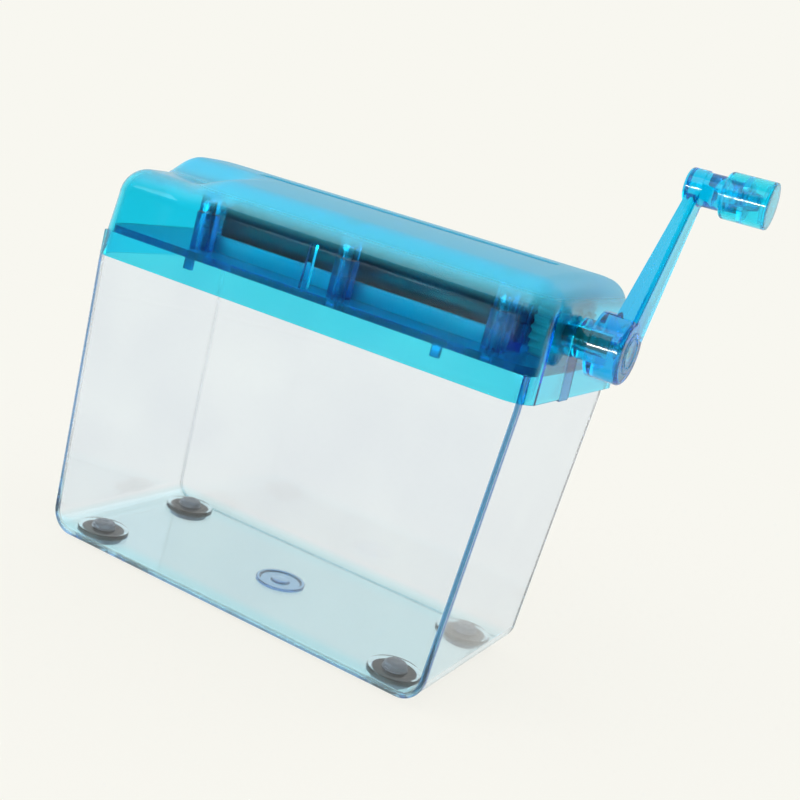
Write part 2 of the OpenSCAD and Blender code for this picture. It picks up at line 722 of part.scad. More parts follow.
// A cutter disc with a hexagonal bore and notches in its edge
module cutter(x, y) {
    notch = 0.7;
    difference() {
        rod(x, cutter_t, cutter_d / 2, y);
        hex_bar(x - eps, cutter_t + 2 * eps, y, seat);
        for (k = [0:notch_count - 1]) translate([x - eps, y, axis_z]) rotate([360 * k / notch_count, 0, 0])
            translate([0, 0, cutter_d / 2]) rotate([45, 0, 0])
                cube([2 * cutter_t + 2 * eps, 2 * notch, 2 * notch], center = true);
    }
}
function disc_x(k, shift) = stack_x + shift + k * cutter_pitch;
module cutters(y, shift) { color(steel) at_origin() for (k = [0:cutter_count - 1]) cutter(disc_x(k, shift), y); }
module front_cutters() { cutters(axis_y, 0); }
module rear_cutters() { cutters(rear_y, cutter_pitch / 2); }

// A sleeve on the hexagon
module sleeve(x, l, y) {
    difference() {
        rod(x, l, spacer_d / 2, y);
        hex_bar(x - eps, l + 2 * eps, y, seat);
    }
}
// The front stack ends with a sleeve that is half a pitch longer
module front_spacers() {
    color(black) at_origin() for (k = [0:cutter_count - 1])
        sleeve(disc_x(k, 0) + cutter_t, cutter_gap + (k == cutter_count - 1 ? cutter_pitch / 2 : 0), axis_y);
}
// The rear stack starts with a sleeve of half a pitch
module rear_spacers() {
    color(black) at_origin() {
        sleeve(stack_x, cutter_pitch / 2, rear_y);
        for (k = [0:cutter_count - 1])
            sleeve(disc_x(k, cutter_pitch / 2) + cutter_t, cutter_gap, rear_y);
    }
}

// A retaining clip in the groove at a shaft's left end
module clip(y) {
    grip = journal_d / 2 - 0.8 + seat;
    color(steel) at_origin() difference() {
        rod(clip_x + seat, clip_t - 2 * seat, clip_d / 2, y);
        rod(clip_x - eps, clip_t + 2 * eps, grip, y);
        translate([clip_x - eps, y - grip * 0.8, axis_z]) cube([clip_t + 2 * eps, grip * 1.6, clip_d]);
    }
}
module front_clip() { clip(axis_y); }
module rear_clip() { clip(rear_y); }

// Involute teeth: a flank point for a radius, as [radius, angle from the tooth's middle]
pitch_r = gear_module * gear_teeth / 2;
base_r = pitch_r * cos(gear_pa);
tip_r = pitch_r + gear_module;
root_r = pitch_r - 1.25 * gear_module;
backlash = 0.16;
mesh_turn = gear_teeth % 2 == 0 ? 180 / gear_teeth : 0;
function inv(a) = tan(a) * 180 / PI - a;
function flank(r) = let (a = acos(min(1, base_r / r)))
    90 / gear_teeth - (backlash / 2 / pitch_r) * 180 / PI + inv(gear_pa) - inv(a);
function tooth_radii() = [for (i = [0:5]) mix(max(base_r, root_r), tip_r, i / 5)];
function tooth() = concat(
    [[root_r, -flank(base_r) - 1.2]],
    [for (r = tooth_radii()) [r, -flank(r)]],
    [for (i = [5:-1:0]) let (r = tooth_radii()[i]) [r, flank(r)]],
    [[root_r, flank(base_r) + 1.2]]);
module gear_outline() {
    polygon([for (k = [0:gear_teeth - 1], p = tooth())
        let (a = p[1] + 360 * k / gear_teeth) [p[0] * cos(a), p[0] * sin(a)]]);
}
module gear(y, turn, tooth_turn) {
    hub_r = 5;
    web = 1.2;
    color(nylon) at_origin() difference() {
        translate([gear_x, y, axis_z]) rotate([90, 0, 90]) linear_extrude(gear_w) rotate(tooth_turn) gear_outline();
        translate([gear_x + gear_w - web, y, axis_z]) rotate([0, 90, 0]) difference() {
            cylinder(h = web + eps, r = root_r - 1.4);
            translate([0, 0, -eps]) cylinder(h = web + 3 * eps, r = hub_r);
        }
        drive_bar(gear_x - eps, gear_w + 2 * eps, y, turn, seat);
    }
}
// Both have a tooth that points to the back; mesh_turn gives the rear one a gap in front
module drive_gear() { gear(axis_y, -crank_lean, 0); }
module driven_gear() { gear(rear_y, 0, mesh_turn); }

// A wedge in (Y, Z) that opens to the front between two angles from level
module wedge(low, high) {
    far = 3 * comb_out_r;
    polygon([[0, 0], for (a = [low, (low + high) / 2, high]) [-far * cos(a), far * sin(a)]]);
}
// A comb: a half-round back, a foot on the deck and a finger in every gap between the discs
module comb(side, shift) {
    drop = axis_z - deck_top;
    low = -asin((drop - 0.05) / comb_out_r);
    foot_in = sqrt(pow(comb_in_r + comb_t / 3, 2) - pow(drop - comb_foot_t, 2));
    y = side < 0 ? axis_y : rear_y;
    fingers = side < 0 ? [0:cutter_count - 1] : [-1:cutter_count - 2];
    color(black) at_origin() translate([0, y, axis_z]) scale([1, -side, 1]) {
        difference() {
            union() {
                along_x(left_face + clear, well_l - 2 * clear) intersection() {
                    difference() { circle(comb_out_r); circle(comb_in_r); }
                    wedge(low, comb_top);
                }
                translate([left_face + clear, -comb_foot_y, -drop])
                    cube([well_l - 2 * clear, comb_foot_y - foot_in, comb_foot_t]);
            }
            for (x = comb_screw_xs) translate([x, -comb_screw_y, -drop + comb_foot_t])
                screw_hole(comb_foot_t + eps);
        }
        for (k = fingers)
            along_x(disc_x(k, shift) + cutter_t + (cutter_gap - finger_t) / 2, finger_t) intersection() {
                difference() { circle(comb_in_r + comb_t / 2); circle(finger_in_r); }
                wedge(finger_low, finger_top);
            }
    }
}
module front_comb() { comb(-1, 0); }
module rear_comb() {
    comb(1, cutter_pitch / 2);
}

module comb_screws() {
    color(steel) at_origin()
        for (x = comb_screw_xs, y = [axis_y - comb_screw_y, rear_y + comb_screw_y])
            translate([x, y, deck_top + comb_foot_t]) screw(comb_foot_t + deck_t - 0.2);
}
module cap_screws() {
    color(steel) at_origin() for (y = cap_screw_ys) {
        translate([left_out + left_block_t / 2, y, cap_top]) screw(cap_screw_l);
        translate([right_face + right_block_t / 2, y, cap_top]) screw(cap_screw_l);
    }
}
module cover_screws() {
    color(steel) at_origin() for (x = post_xs, y = post_ys)
        translate([x, y, rim_z + screw_head_h + 0.2]) mirror([0, 0, 1]) screw(post_top - rim_z + 3.8);
}

// The arm's outline across its length at the hub or the tip, rounded on its outer edges
module arm_slice(w, t) {
    r = arm_edge_r;
    translate([-t, -w / 2]) square([t - r, w]);
    translate([-t, -w / 2 + r]) square([t, w - 2 * r]);
    for (s = [-1, 1]) translate([-r, s * (w / 2 - r)]) circle(r, $fn = hull_fn);
}
// A turned shape round X: x0 to x1, with its far edge rounded
module turned(x0, x1, r, edge) {
    translate([x0, 0, 0]) rotate([0, 90, 0]) rotate_extrude() {
        square([r - edge, x1 - x0]);
        square([r, x1 - x0 - edge]);
        translate([r - edge, x1 - x0 - edge]) intersection() { circle(edge); square(edge); }
    }
}
module crank_arm() {
    hub_edge = 1.6;
    boss_edge = 1.4;
    color(cyan, 0.8) at_origin() translate([0, axis_y, axis_z]) rotate([-crank_lean, 0, 0]) difference() {
        union() {
            turned(hub_x, hub_end, hub_d / 2, hub_edge);
            translate([collar_x, 0, 0]) rotate([0, 90, 0]) cylinder(h = collar_l + skin, d = collar_d);
            translate([spigot_x, 0, 0]) rotate([0, 90, 0]) cylinder(h = collar_x - spigot_x + skin, r = spigot_r);
            hull() {
                translate([hub_end, 0, hub_d / 4]) linear_extrude(skin) arm_slice(arm_w, arm_t);
                translate([hub_end, 0, crank_r - 1]) linear_extrude(skin) arm_slice(arm_tip_w, arm_tip_t);
            }
            translate([0, 0, crank_r]) {
                translate([hub_end, 0, 0]) mirror([1, 0, 0]) turned(0, boss_l, boss_d / 2, boss_edge);
                translate([hub_end - skin, 0, 0]) rotate([0, 90, 0]) cylinder(h = neck_l + skin, d = neck_d);
                translate([neck_end - skin, 0, 0]) rotate([0, 90, 0]) cylinder(h = pivot_l + skin, d = pivot_d);
                translate([pivot_end - skin, 0, 0]) rotate([0, 90, 0])
                    cylinder(h = snap_x - pivot_end + 2 * skin, d = snap_d);
                translate([snap_x, 0, 0]) rotate([0, 90, 0])
                    cylinder(h = snap_l, d1 = snap_head_d, d2 = snap_d);
            }
        }
        translate([0, 0, 0]) rotate([90, 0, 90]) translate([0, 0, spigot_x - eps])
            linear_extrude(shaft_end + 0.4 - spigot_x + eps) drive_outline(seat);
        translate([shaft_end, 0, 0]) rotate([0, 90, 0]) cylinder(h = hub_l, r = screw_d / 2 + seat);
        translate([hub_seat_x, 0, 0]) rotate([0, 90, 0]) cylinder(h = hub_l, r = screw_head_d / 2 + 0.4);
        translate([hub_end - hub_recess, 0, 0]) rotate([0, 90, 0]) cylinder(h = hub_l, r = hub_cap_d / 2 + seat);
        translate([pivot_end - 1, -0.5, crank_r - snap_head_d]) cube([snap_l + 8, 1, 2 * snap_head_d]);
    }
}

// The screw that holds the crank on the shaft, and the cap that closes the hub over it
module crank_screw() {
    color(steel) at_origin() translate([hub_seat_x, axis_y, axis_z]) rotate([0, 90, 0]) screw(crank_screw_l);
}
module hub_cap() {
    edge = 0.5;
    lip = 0.2;
    color(cyan, 0.8) at_origin() translate([0, axis_y, axis_z])
        turned(hub_end - hub_recess, hub_end + lip, hub_cap_d / 2, edge);
}

// The knob turns on the arm's journal and is held by the snap pin through its inner flange
module on_crank() {
    at_origin() translate([0, axis_y, axis_z]) rotate([-crank_lean, 0, 0]) translate([0, 0, crank_r])
        rotate([0, 90, 0]) children();
}
module knob() {
    edge = 1.1;
    inner = knob_d / 2 - knob_wall;
    front_t = 1.4;
    body_end = knob_end - knob_cap_t;
    color(cyan, 0.8) on_crank() difference() {
        translate([0, 0, knob_x]) rotate_extrude() {
            translate([0, edge]) square([knob_d / 2, body_end - knob_x - edge]);
            square([knob_d / 2 - edge, edge]);
            translate([knob_d / 2 - edge, edge]) intersection() {
                circle(edge);
                translate([0, -edge]) square(edge);
            }
        }
        translate([0, 0, knob_x - eps]) cylinder(h = front_t + 2 * eps, r = pivot_d / 2 + run_fit);
        translate([0, 0, knob_x + front_t]) cylinder(h = flange_x - knob_x - front_t, r = inner);
        translate([0, 0, flange_x - eps]) cylinder(h = knob_flange_t + 2 * eps, r = snap_d / 2 + run_fit);
        translate([0, 0, flange_x + knob_flange_t]) cylinder(h = knob_l, r = inner);
    }
}
module knob_cap() {
    inner = knob_d / 2 - knob_wall;
    edge = 0.5;
    color(cyan, 0.8) on_crank() {
        translate([0, 0, knob_end - knob_cap_t]) rotate_extrude() {
            square([knob_d / 2, knob_cap_t - edge]);
            square([knob_d / 2 - edge, knob_cap_t]);
            translate([knob_d / 2 - edge, knob_cap_t - edge]) intersection() { circle(edge); square(edge); }
        }
        translate([0, 0, knob_end - knob_cap_t - cap_plug_l]) difference() {
            cylinder(h = cap_plug_l + skin, r = inner - seat);
            translate([0, 0, -eps]) cylinder(h = cap_plug_l + eps, r = inner - 1);
        }
    }
}

bin();
foot_front_left();
foot_front_right();
foot_back_left();
foot_back_right();
cover();
base_frame();
left_bearing_cap();
right_bearing_cap();
front_left_bush();
front_right_bush();
rear_left_bush();
rear_right_bush();
front_shaft();
front_cutters();
front_spacers();
front_clip();
drive_gear();
rear_shaft();
rear_cutters();
rear_spacers();
rear_clip();
driven_gear();
front_comb();
rear_comb();
front_guard();
rear_guard();
comb_screws();
cap_screws();
cover_screws();
crank_arm();
crank_screw();
hub_cap();
knob();
knob_cap();
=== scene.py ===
"""Looks of the hand-crank paper shredder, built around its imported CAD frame."""

import logging
import math
from dataclasses import dataclass
from enum import Enum
from typing import Callable, Iterable, Sequence

import bmesh
import bpy
from mathutils import Matrix, Vector


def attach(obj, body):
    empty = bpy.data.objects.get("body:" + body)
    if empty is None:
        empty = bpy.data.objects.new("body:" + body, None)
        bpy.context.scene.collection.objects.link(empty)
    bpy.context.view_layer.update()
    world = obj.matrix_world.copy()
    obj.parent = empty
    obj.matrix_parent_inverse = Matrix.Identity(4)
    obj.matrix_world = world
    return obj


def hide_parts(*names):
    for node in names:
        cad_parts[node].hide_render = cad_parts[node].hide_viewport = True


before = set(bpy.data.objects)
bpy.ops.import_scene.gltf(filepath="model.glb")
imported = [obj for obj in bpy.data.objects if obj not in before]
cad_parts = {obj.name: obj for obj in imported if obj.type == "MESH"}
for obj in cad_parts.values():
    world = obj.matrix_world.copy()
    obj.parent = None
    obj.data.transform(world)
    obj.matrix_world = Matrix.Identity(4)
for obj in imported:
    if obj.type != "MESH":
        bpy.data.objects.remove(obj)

log = logging.getLogger("shredder")
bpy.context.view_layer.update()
MM = 0.001
HEAD_MIDDLE_X = -18.786
SHAFT_Y = -11.0
SHAFT_Z = 123.0
ORIGIN = Vector((0, 0, 0))
UPWARD = Vector((0, 0, 1))
OUTWARD = Vector((1, 0, 0))
MERGE = 2e-6
FACING = 0.9
SLIVER = 1e-7
FLAT_ANGLE = 0.4
CAST_ANGLE = 32
SCREW_ANGLE = 40
Point = tuple[float, float, float]
Colour = tuple[float, float, float]
Profile = Sequence[tuple[float, float]]
Piece = bpy.types.Object
Node = bpy.types.Node
Socket = bpy.types.NodeSocket
MeshPart = bmesh.types.BMVert | bmesh.types.BMEdge | bmesh.types.BMFace


def mm(x: float, y: float, z: float) -> Vector:
    """A place in millimetres of the frame, in metres."""
    return Vector((x, y, z)) * MM


def spot(x: float, y: float, z: float) -> Vector:
    """A place in millimetres, with X from the head's middle, in metres of the frame."""
    return mm(x + HEAD_MIDDLE_X, y, z)


def blend(low: float, high: float, share: float) -> float:
    """A value between two others."""
    return low + (high - low) * share


def ease(share: float) -> float:
    """A share of 0 to 1 that starts and ends gently."""
    return (1 - math.cos(math.pi * min(1.0, max(0.0, share)))) / 2


def cosd(angle: float) -> float:
    """The cosine of an angle in degrees."""
    return math.cos(math.radians(angle))


def sind(angle: float) -> float:
    """The sine of an angle in degrees."""
    return math.sin(math.radians(angle))


def end_inset(deep: float, radius: float) -> float:
    """How far a rounded end draws the section in, at a distance from the end."""
    return 0.0 if deep >= radius else radius - math.sqrt(max(0.0, radius ** 2 - (radius - deep) ** 2))


# -------------------- bench


class Bench:
    """The modelling bench: the tools that every piece is shaped with."""

    @staticmethod
    def clear() -> None:
        """Leaves edit mode and deselects everything."""
        if bpy.context.object and bpy.context.object.mode != "OBJECT":
            bpy.ops.object.mode_set(mode="OBJECT")
        bpy.ops.object.select_all(action="DESELECT")

    @staticmethod
    def take(piece: Piece) -> None:
        """Makes a piece the only one selected, and the active one.

        Args:
            piece: The object.
        """
        Bench.clear()
        piece.select_set(True)
        bpy.context.view_layer.objects.active = piece

    @staticmethod
    def edit(piece: Piece, mode: str = "VERT", everything: bool = False) -> None:
        """Opens a piece in edit mode.

        Args:
            piece: The mesh object.
            mode: What is selected: VERT, EDGE or FACE.
            everything: True to select it all, else nothing is selected.
        """
        Bench.take(piece)
        bpy.ops.object.mode_set(mode="EDIT")
        bpy.ops.mesh.select_mode(type=mode)
        bpy.ops.mesh.select_all(action="SELECT" if everything else "DESELECT")

    @staticmethod
    def pick(piece: Piece, kind: str, test: Callable[[MeshPart], bool]) -> None:
        """Selects the corners, edges or faces that pass a test.

        Args:
            piece: The mesh object, in edit mode.
            kind: What is picked: verts, edges or faces.
            test: Gets a corner, an edge or a face.
        """
        mesh = bmesh.from_edit_mesh(piece.data)
        mesh.normal_update()
        for part in getattr(mesh, kind):
            part.select = test(part)
        if kind != "edges":
            mesh.select_flush_mode()
        bmesh.update_edit_mesh(piece.data)

    @staticmethod
    def named(name: str) -> Piece:
        """Gives the active piece and its mesh a name.

        Args:
            name: The name.

        Returns:
            The active piece.
        """
        piece = bpy.context.object
        piece.name = piece.data.name = name
        return piece

    @staticmethod
    def seal() -> None:
        """Turns all faces of the piece in edit mode outwards, and leaves edit mode."""
        bpy.ops.mesh.select_all(action="SELECT")
        bpy.ops.mesh.normals_make_consistent(inside=False)
        Bench.clear()

    @staticmethod
    def settle(piece: Piece) -> Piece:
        """Puts a piece's place, turn and size into its mesh.

        Args:
            piece: The mesh object.

        Returns:
            The same piece.
        """
        Bench.take(piece)
        bpy.ops.object.transform_apply(location=True, rotation=True, scale=True)
        return piece

    @staticmethod
    def block(name: str, low: Vector, high: Vector) -> Piece:
        """Adds a cube primitive between two corners, to be shaped further.

        Args:
            name: The piece's name.
            low: Its lowest corner, in metres.
            high: Its highest corner, in metres.

        Returns:
            The new piece.
        """
        Bench.clear()
        bpy.ops.mesh.primitive_cube_add(size=1, location=(low + high) / 2)
        piece = Bench.named(name)
        piece.scale = high - low
        return Bench.settle(piece)

    @staticmethod
    def bar(name: str, start: Vector, end: Vector, radius: float, sides: int = 48) -> Piece:
        """Adds a cylinder primitive between two places, to be shaped further.

        Args:
            name: The piece's name.
            start: Middle of one end, in metres.
            end: Middle of the other end, in metres.
            radius: Its radius, in millimetres.
            sides: How many sides it has.

        Returns:
            The new piece.
        """
        Bench.clear()
        turn = (end - start).to_track_quat("Z", "Y").to_euler()
        bpy.ops.mesh.primitive_cylinder_add(
            vertices=sides, radius=radius * MM, depth=(end - start).length,
            location=(start + end) / 2, rotation=turn)
        return Bench.settle(Bench.named(name))

    @staticmethod
    def turned(name: str, profile: Profile, foot: Vector = ORIGIN, along: Vector = UPWARD,
               steps: int = 48) -> Piece:
        """Turns a profile on the lathe: one point is drawn out along it, then spun.

        Args:
            name: The piece's name.
            profile: Distance along the axis and radius, in millimetres. It runs from the
                axis to the axis, or it returns to its first point where the piece is hollow.
            foot: Where the axis starts, in metres.
            along: The axis's direction.
            steps: How many sides the piece has.

        Returns:
            The new piece.
        """
        Bench.clear()
        along = along.normalized()
        side = along.orthogonal().normalized()
        places = [foot + along * a * MM + side * r * MM for a, r in profile]
        bpy.ops.mesh.primitive_plane_add(size=MM, location=places[0])
        piece = Bench.settle(Bench.named(name))
        Bench.edit(piece, "VERT", True)
        bpy.ops.mesh.merge(type="CENTER")
        for here, there in zip(places, places[1:]):
            bpy.ops.mesh.extrude_region_move(TRANSFORM_OT_translate={"value": there - here})
        bpy.ops.mesh.select_all(action="SELECT")
        bpy.ops.mesh.spin(steps=steps, angle=2 * math.pi, center=foot, axis=along)
        bpy.ops.mesh.select_all(action="SELECT")
        bpy.ops.mesh.remove_doubles(threshold=MERGE)
        Bench.seal()
        return piece

    @staticmethod
    def modify(piece: Piece, kind: str, **values: object) -> Piece:
        """Adds a modifier and applies it.

        Args:
            piece: The mesh object.
            kind: The modifier's type.
            values: Its settings.

        Returns:
            The same piece.
        """
        Bench.take(piece)
        bpy.ops.object.modifier_add(type=kind)
        modifier = piece.modifiers[-1]
        for key, value in values.items():
            setattr(modifier, key, value)
        bpy.ops.object.modifier_apply(modifier=modifier.name)
        return piece

    @staticmethod
    def ease_edges(piece: Piece, width: float, segments: int = 2, angle: float = 35) -> Piece:
        """Rounds all edges sharper than an angle in degrees, over a width in millimetres."""
        return Bench.modify(piece, "BEVEL", width=width * MM, segments=segments, limit_method="ANGLE",
                            angle_limit=math.radians(angle), harden_normals=False)

    @staticmethod
    def unite(piece: Piece, other: Piece, how: str = "UNION") -> Piece:
        """Joins another solid to a piece, or cuts it out, and deletes it.

        Args:
            piece: The solid that stays.
            other: The solid that is used up.
            how: UNION, DIFFERENCE or INTERSECT.

        Returns:
            The piece.
        """
        Bench.modify(piece, "BOOLEAN", object=other, operation=how, solver="EXACT")
        bpy.data.objects.remove(other, do_unlink=True)
        return piece

    @staticmethod
    def copy(piece: Piece, step: Vector, name: str | None = None) -> Piece:
        """Copies a piece with its own mesh, moved by a step.

        Args:
            piece: The mesh object.
            step: How far the copy is moved, in metres.
            name: The copy's name, by default the piece's own.

        Returns:
            The copy.
        """
        twin = piece.copy()
        twin.data = piece.data.copy()
        twin.data.transform(Matrix.Translation(step))
        twin.name = twin.data.name = name or piece.name
        bpy.context.scene.collection.objects.link(twin)
        return twin

    @staticmethod
    def repeat(first: Piece, places: Iterable[Vector], name: str) -> Piece:
        """Copies a solid to several places as one piece, and deletes it.

        Args:
            first: The solid, modelled at the origin.
            places: Where the copies go.
            name: The piece's name.

        Returns:
            The piece.
        """
        copies = [Bench.copy(first, place) for place in places]
        bpy.data.objects.remove(first, do_unlink=True)
        Bench.take(copies[0])
        if len(copies) > 1:
            for twin in copies[1:]:
                twin.select_set(True)
            bpy.ops.object.join()
        return Bench.named(name)

    @staticmethod
    def cast(node: str, name: str) -> Piece:
        """Takes a casting of a frame node: a copy of its mesh with its corners merged.

        Args:
            node: The node's name.
            name: The piece's name.

        Returns:
            The new piece.
        """
        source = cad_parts[node]
        piece = source.copy()
        piece.data = source.data.copy()
        piece.name = piece.data.name = name
        for key in list(piece.keys()):
            del piece[key]
        piece.parent = None
        bpy.context.scene.collection.objects.link(piece)
        piece.hide_render = piece.hide_viewport = False
        piece.matrix_world = Matrix.Identity(4)
        piece.data.materials.clear()
        Bench.edit(piece, "VERT", True)
        bpy.ops.mesh.remove_doubles(threshold=MERGE)
        bpy.ops.mesh.dissolve_degenerate(threshold=SLIVER)
        bpy.ops.mesh.select_all(action="SELECT")
        bpy.ops.mesh.dissolve_limited(angle_limit=math.radians(FLAT_ANGLE))
        Bench.clear()
        return piece

    @staticmethod
    def smooth(piece: Piece, angle: float) -> None:
        """Shades a piece smooth across its flatter edges, with large faces leading.

        Args:
            piece: The mesh object.
            angle: Largest angle between faces that still shades smooth, in degrees.
        """
        Bench.take(piece)
        bpy.ops.object.shade_smooth_by_angle(angle=math.radians(angle))
        Bench.modify(piece, "WEIGHTED_NORMAL", mode="FACE_AREA", keep_sharp=True, weight=50)
        Bench.clear()


# -------------------- finishes


class Nodes:
    """The node tree of a material or a world, with short ways to add and join nodes."""

    def __init__(self, name: str, world: bool = False) -> None:
        """Makes an empty material or world.

        Args:
            name: Its name.
            world: True for a world.
        """
        self.owner = (bpy.data.worlds if world else bpy.data.materials).new(name)
        self.owner.use_nodes = True
        self.tree = self.owner.node_tree
        self.tree.nodes.clear()
        self.out = self.add("OutputWorld" if world else "OutputMaterial")

    def add(self, kind: str, *inputs: object, **values: object) -> Node:
        """Adds a node and gives it its values.

        Args:
            kind: The node's type.
            inputs: What its inputs in use get, in their order, as put() takes it.
            values: What inputs or properties get by their names, as feed() takes it.

        Returns:
            The new node.
        """
        node = self.feed(self.tree.nodes.new(f"ShaderNode{kind}"), **values)
        for value, target in zip(inputs, (socket for socket in node.inputs if socket.enabled)):
            self.put(value, target)
        return node

    def feed(self, node: Node, **values: object) -> Node:
        """Gives a node values by the names of its inputs, with _ for spaces, or of its properties.

        Args:
            node: The node.
            values: For an input what put() takes, for a property its value.

        Returns:
            The same node.
        """
        for key, value in values.items():
            name = key.replace("_", " ")
            if name in node.inputs:
                self.put(value, node.inputs[name])
            else:
                setattr(node, key, value)
        return node

    def put(self, value: object, target: Socket) -> None:
        """Links a socket to an input, or sets the input to a value.

        Args:
            value: A socket or a value.
            target: The input.
        """
        if isinstance(value, Socket):
            self.tree.links.new(value, target)
        else:
            target.default_value = value

    def place(self, scale: Sequence[float] = (1, 1, 1)) -> Socket:
        """Object coordinates through a Mapping node, with a scale along each axis."""
        around = self.add("TexCoord").outputs["Object"]
        return self.add("Mapping", Scale=scale, Vector=around).outputs["Vector"]

    def noise(self, scale: float, detail: float = 3, stretch: Sequence[float] = (1, 1, 1)) -> Socket:
        """A noise pattern's factor, with its scale in features per metre."""
        return self.add("TexNoise", Scale=scale, Detail=detail, Vector=self.place(stretch)).outputs["Fac"]

    def spread(self, factor: Socket, low: float, high: float, start: float = 0.35, end: float = 0.65,
               smooth: bool = False) -> Socket:
        """Maps a factor from start..end to low..high, eased at both ends where it is smooth."""
        return self.add("MapRange", interpolation_type="SMOOTHSTEP" if smooth else "LINEAR", Value=factor,
                        From_Min=start, From_Max=end, To_Min=low, To_Max=high).outputs["Result"]

    def climb(self, low: float, high: float, start: float, end: float, smooth: bool = True) -> Socket:
        """A value that goes from low to high between two heights above the floor, in metres."""
        parts = self.add("SeparateXYZ", Vector=self.place())
        return self.spread(parts.outputs["Z"], low, high, start, end, smooth)

    def larger(self, first: Socket, second: Socket) -> Socket:
        """The larger one of two values."""
        return self.add("Math", first, second, operation="MAXIMUM").outputs[0]

    def mix(self, factor: Socket, low: Colour | Socket, high: Colour) -> Socket:
        """A colour between low and high by a factor."""
        low = low if isinstance(low, Socket) else (*low, 1)
        return self.add("Mix", factor, low, (*high, 1), data_type="RGBA").outputs[2]

    def between(self, factor: Socket, first: Node, second: Node) -> Node:
        """A shader between two others by a factor."""
        return self.add("MixShader", factor, first.outputs[0], second.outputs[0])

    def bump(self, height: Socket, depth: float, strength: float) -> Socket:
        """A normal from a height pattern, with its depth in metres."""
        return self.add("Bump", Strength=strength, Distance=depth, Height=height).outputs["Normal"]

    def finish(self, shader: Node) -> bpy.types.Material | bpy.types.World:
        """Puts the shader on the surface and gives the material or world."""
        self.feed(self.out, Surface=shader.outputs[0])
        return self.owner


@dataclass(frozen=True)
class TintedPlastic:
    """Clear moulded plastic that is coloured through, darker where it is seen along its length."""

    name: str
    tint: Colour
    depth_tint: Colour
    density: float
    roughness: float = 0.04
    gloss: float = 0.5
    clearness: float = 1.0
    ior: float = 1.53
    frost: float = 0.4
    frost_fade: tuple[float, float] = (0.128, 0.139)
    floor_tint: Colour | None = None
    floor_tint_fade: tuple[float, float] = (0.0045, 0.0085)
    floor_clearness: float = 0.95
    floor_fade: tuple[float, float] = (0.0042, 0.0062)
    haze: Colour | None = None
    haze_clearness: float = 0.48
    # A painted dark-blue shade for faces marked by the edge attribute, in place of the dark line that light
    # makes along a clear edge.
    edge_shade_tint: Colour | None = None
    clouds: float = 22
    smears: float = 60
    smear_share: float = 1.8
    waves: float = 14
    wave_depth: float = 0.00004
    wave_strength: float = 0.3

    def material(self) -> bpy.types.Material:
        """Builds the material: its floor, painted edge shade or hazy top only where it has a tint for them.

        Returns:
            The finished material.
        """
        n = Nodes(self.name)
        shader = n.add("BsdfPrincipled", IOR=self.ior, Specular_IOR_Level=self.gloss,
                       Transmission_Weight=self.clearness)
        pale = tuple(min(1.0, c * 1.03 + 0.008) for c in self.tint)
        colour = n.mix(n.spread(n.noise(self.clouds, 2), 0, 1), self.tint, pale)
        rough = n.spread(n.noise(self.smears, 4), self.roughness, self.roughness * self.smear_share)
        if self.floor_tint:
            colour = n.mix(n.climb(1, 0, *self.floor_tint_fade, False), colour, self.floor_tint)
            n.feed(shader, Transmission_Weight=n.climb(
                self.floor_clearness, self.clearness, *self.floor_fade))
        if self.edge_shade_tint:
            # Painted shade: the marked faces are darkened to a deep blue, in place of the dark line along a
            # clear edge.
            colour = n.mix(n.add("Attribute", attribute_name="edge").outputs["Fac"], colour, self.edge_shade_tint)
        if self.haze:
            colour = n.mix(n.climb(0, 1, *self.frost_fade), colour, self.haze)
            n.feed(shader, Transmission_Weight=n.climb(
                self.clearness, self.haze_clearness, *self.frost_fade))
            rough = n.larger(rough, n.climb(0, self.frost, *self.frost_fade))
        n.feed(shader, Base_Color=colour, Roughness=rough,
               Normal=n.bump(n.noise(self.waves, 1, (1, 1, 0.6)), self.wave_depth, self.wave_strength))
        volume = n.add("VolumeAbsorption", Density=self.density, Color=(*self.depth_tint, 1))
        n.feed(n.out, Volume=volume.outputs[0])
        return n.finish(shader)


@dataclass(frozen=True)
class SolidPlastic:
    """Opaque moulded plastic with a fine grain and faint flow marks."""

    name: str
    colour: Colour
    worn: Colour
    roughness: float = 0.4
    grain: float = 0.00003
    gloss: float = 0.5
    flow: float = 90
    smears: float = 160
    grain_scale: float = 2600
    grain_strength: float = 0.4

    def material(self) -> bpy.types.Material:
        """Builds the material.

        Returns:
            The finished material.
        """
        n = Nodes(self.name)
        return n.finish(n.add(
            "BsdfPrincipled", IOR=1.5, Specular_IOR_Level=self.gloss,
            Base_Color=n.mix(n.spread(n.noise(self.flow, 5), 0, 1), self.colour, self.worn),
            Roughness=n.spread(n.noise(self.smears, 3), self.roughness * 0.8, self.roughness * 1.25),
            Normal=n.bump(n.noise(self.grain_scale, 2), self.grain, self.grain_strength)))


@dataclass(frozen=True)
class TurnedSteel:
    """Steel with fine lines left by the tool, and a thin film of oil."""

    name: str
    colour: Colour
    shade: Colour
    roughness: float = 0.28
    lines: float = 2200.0
    line_depth: float = 0.00002
    line_strength: float = 0.35
    stains: float = 140
    film: float = 420

    def material(self) -> bpy.types.Material:
        """Builds the material.

        Returns:
            The finished material.
        """
        n = Nodes(self.name)
        return n.finish(n.add(
            "BsdfPrincipled", IOR=2.5, Specular_IOR_Level=0.5, Metallic=1.0,
            Base_Color=n.mix(n.spread(n.noise(self.stains, 4), 0, 1), self.colour, self.shade),
            Roughness=n.spread(n.noise(self.film, 3), self.roughness * 0.75, self.roughness * 1.35),
            Normal=n.bump(n.noise(self.lines, 1, (1, 0.06, 0.06)), self.line_depth, self.line_strength)))


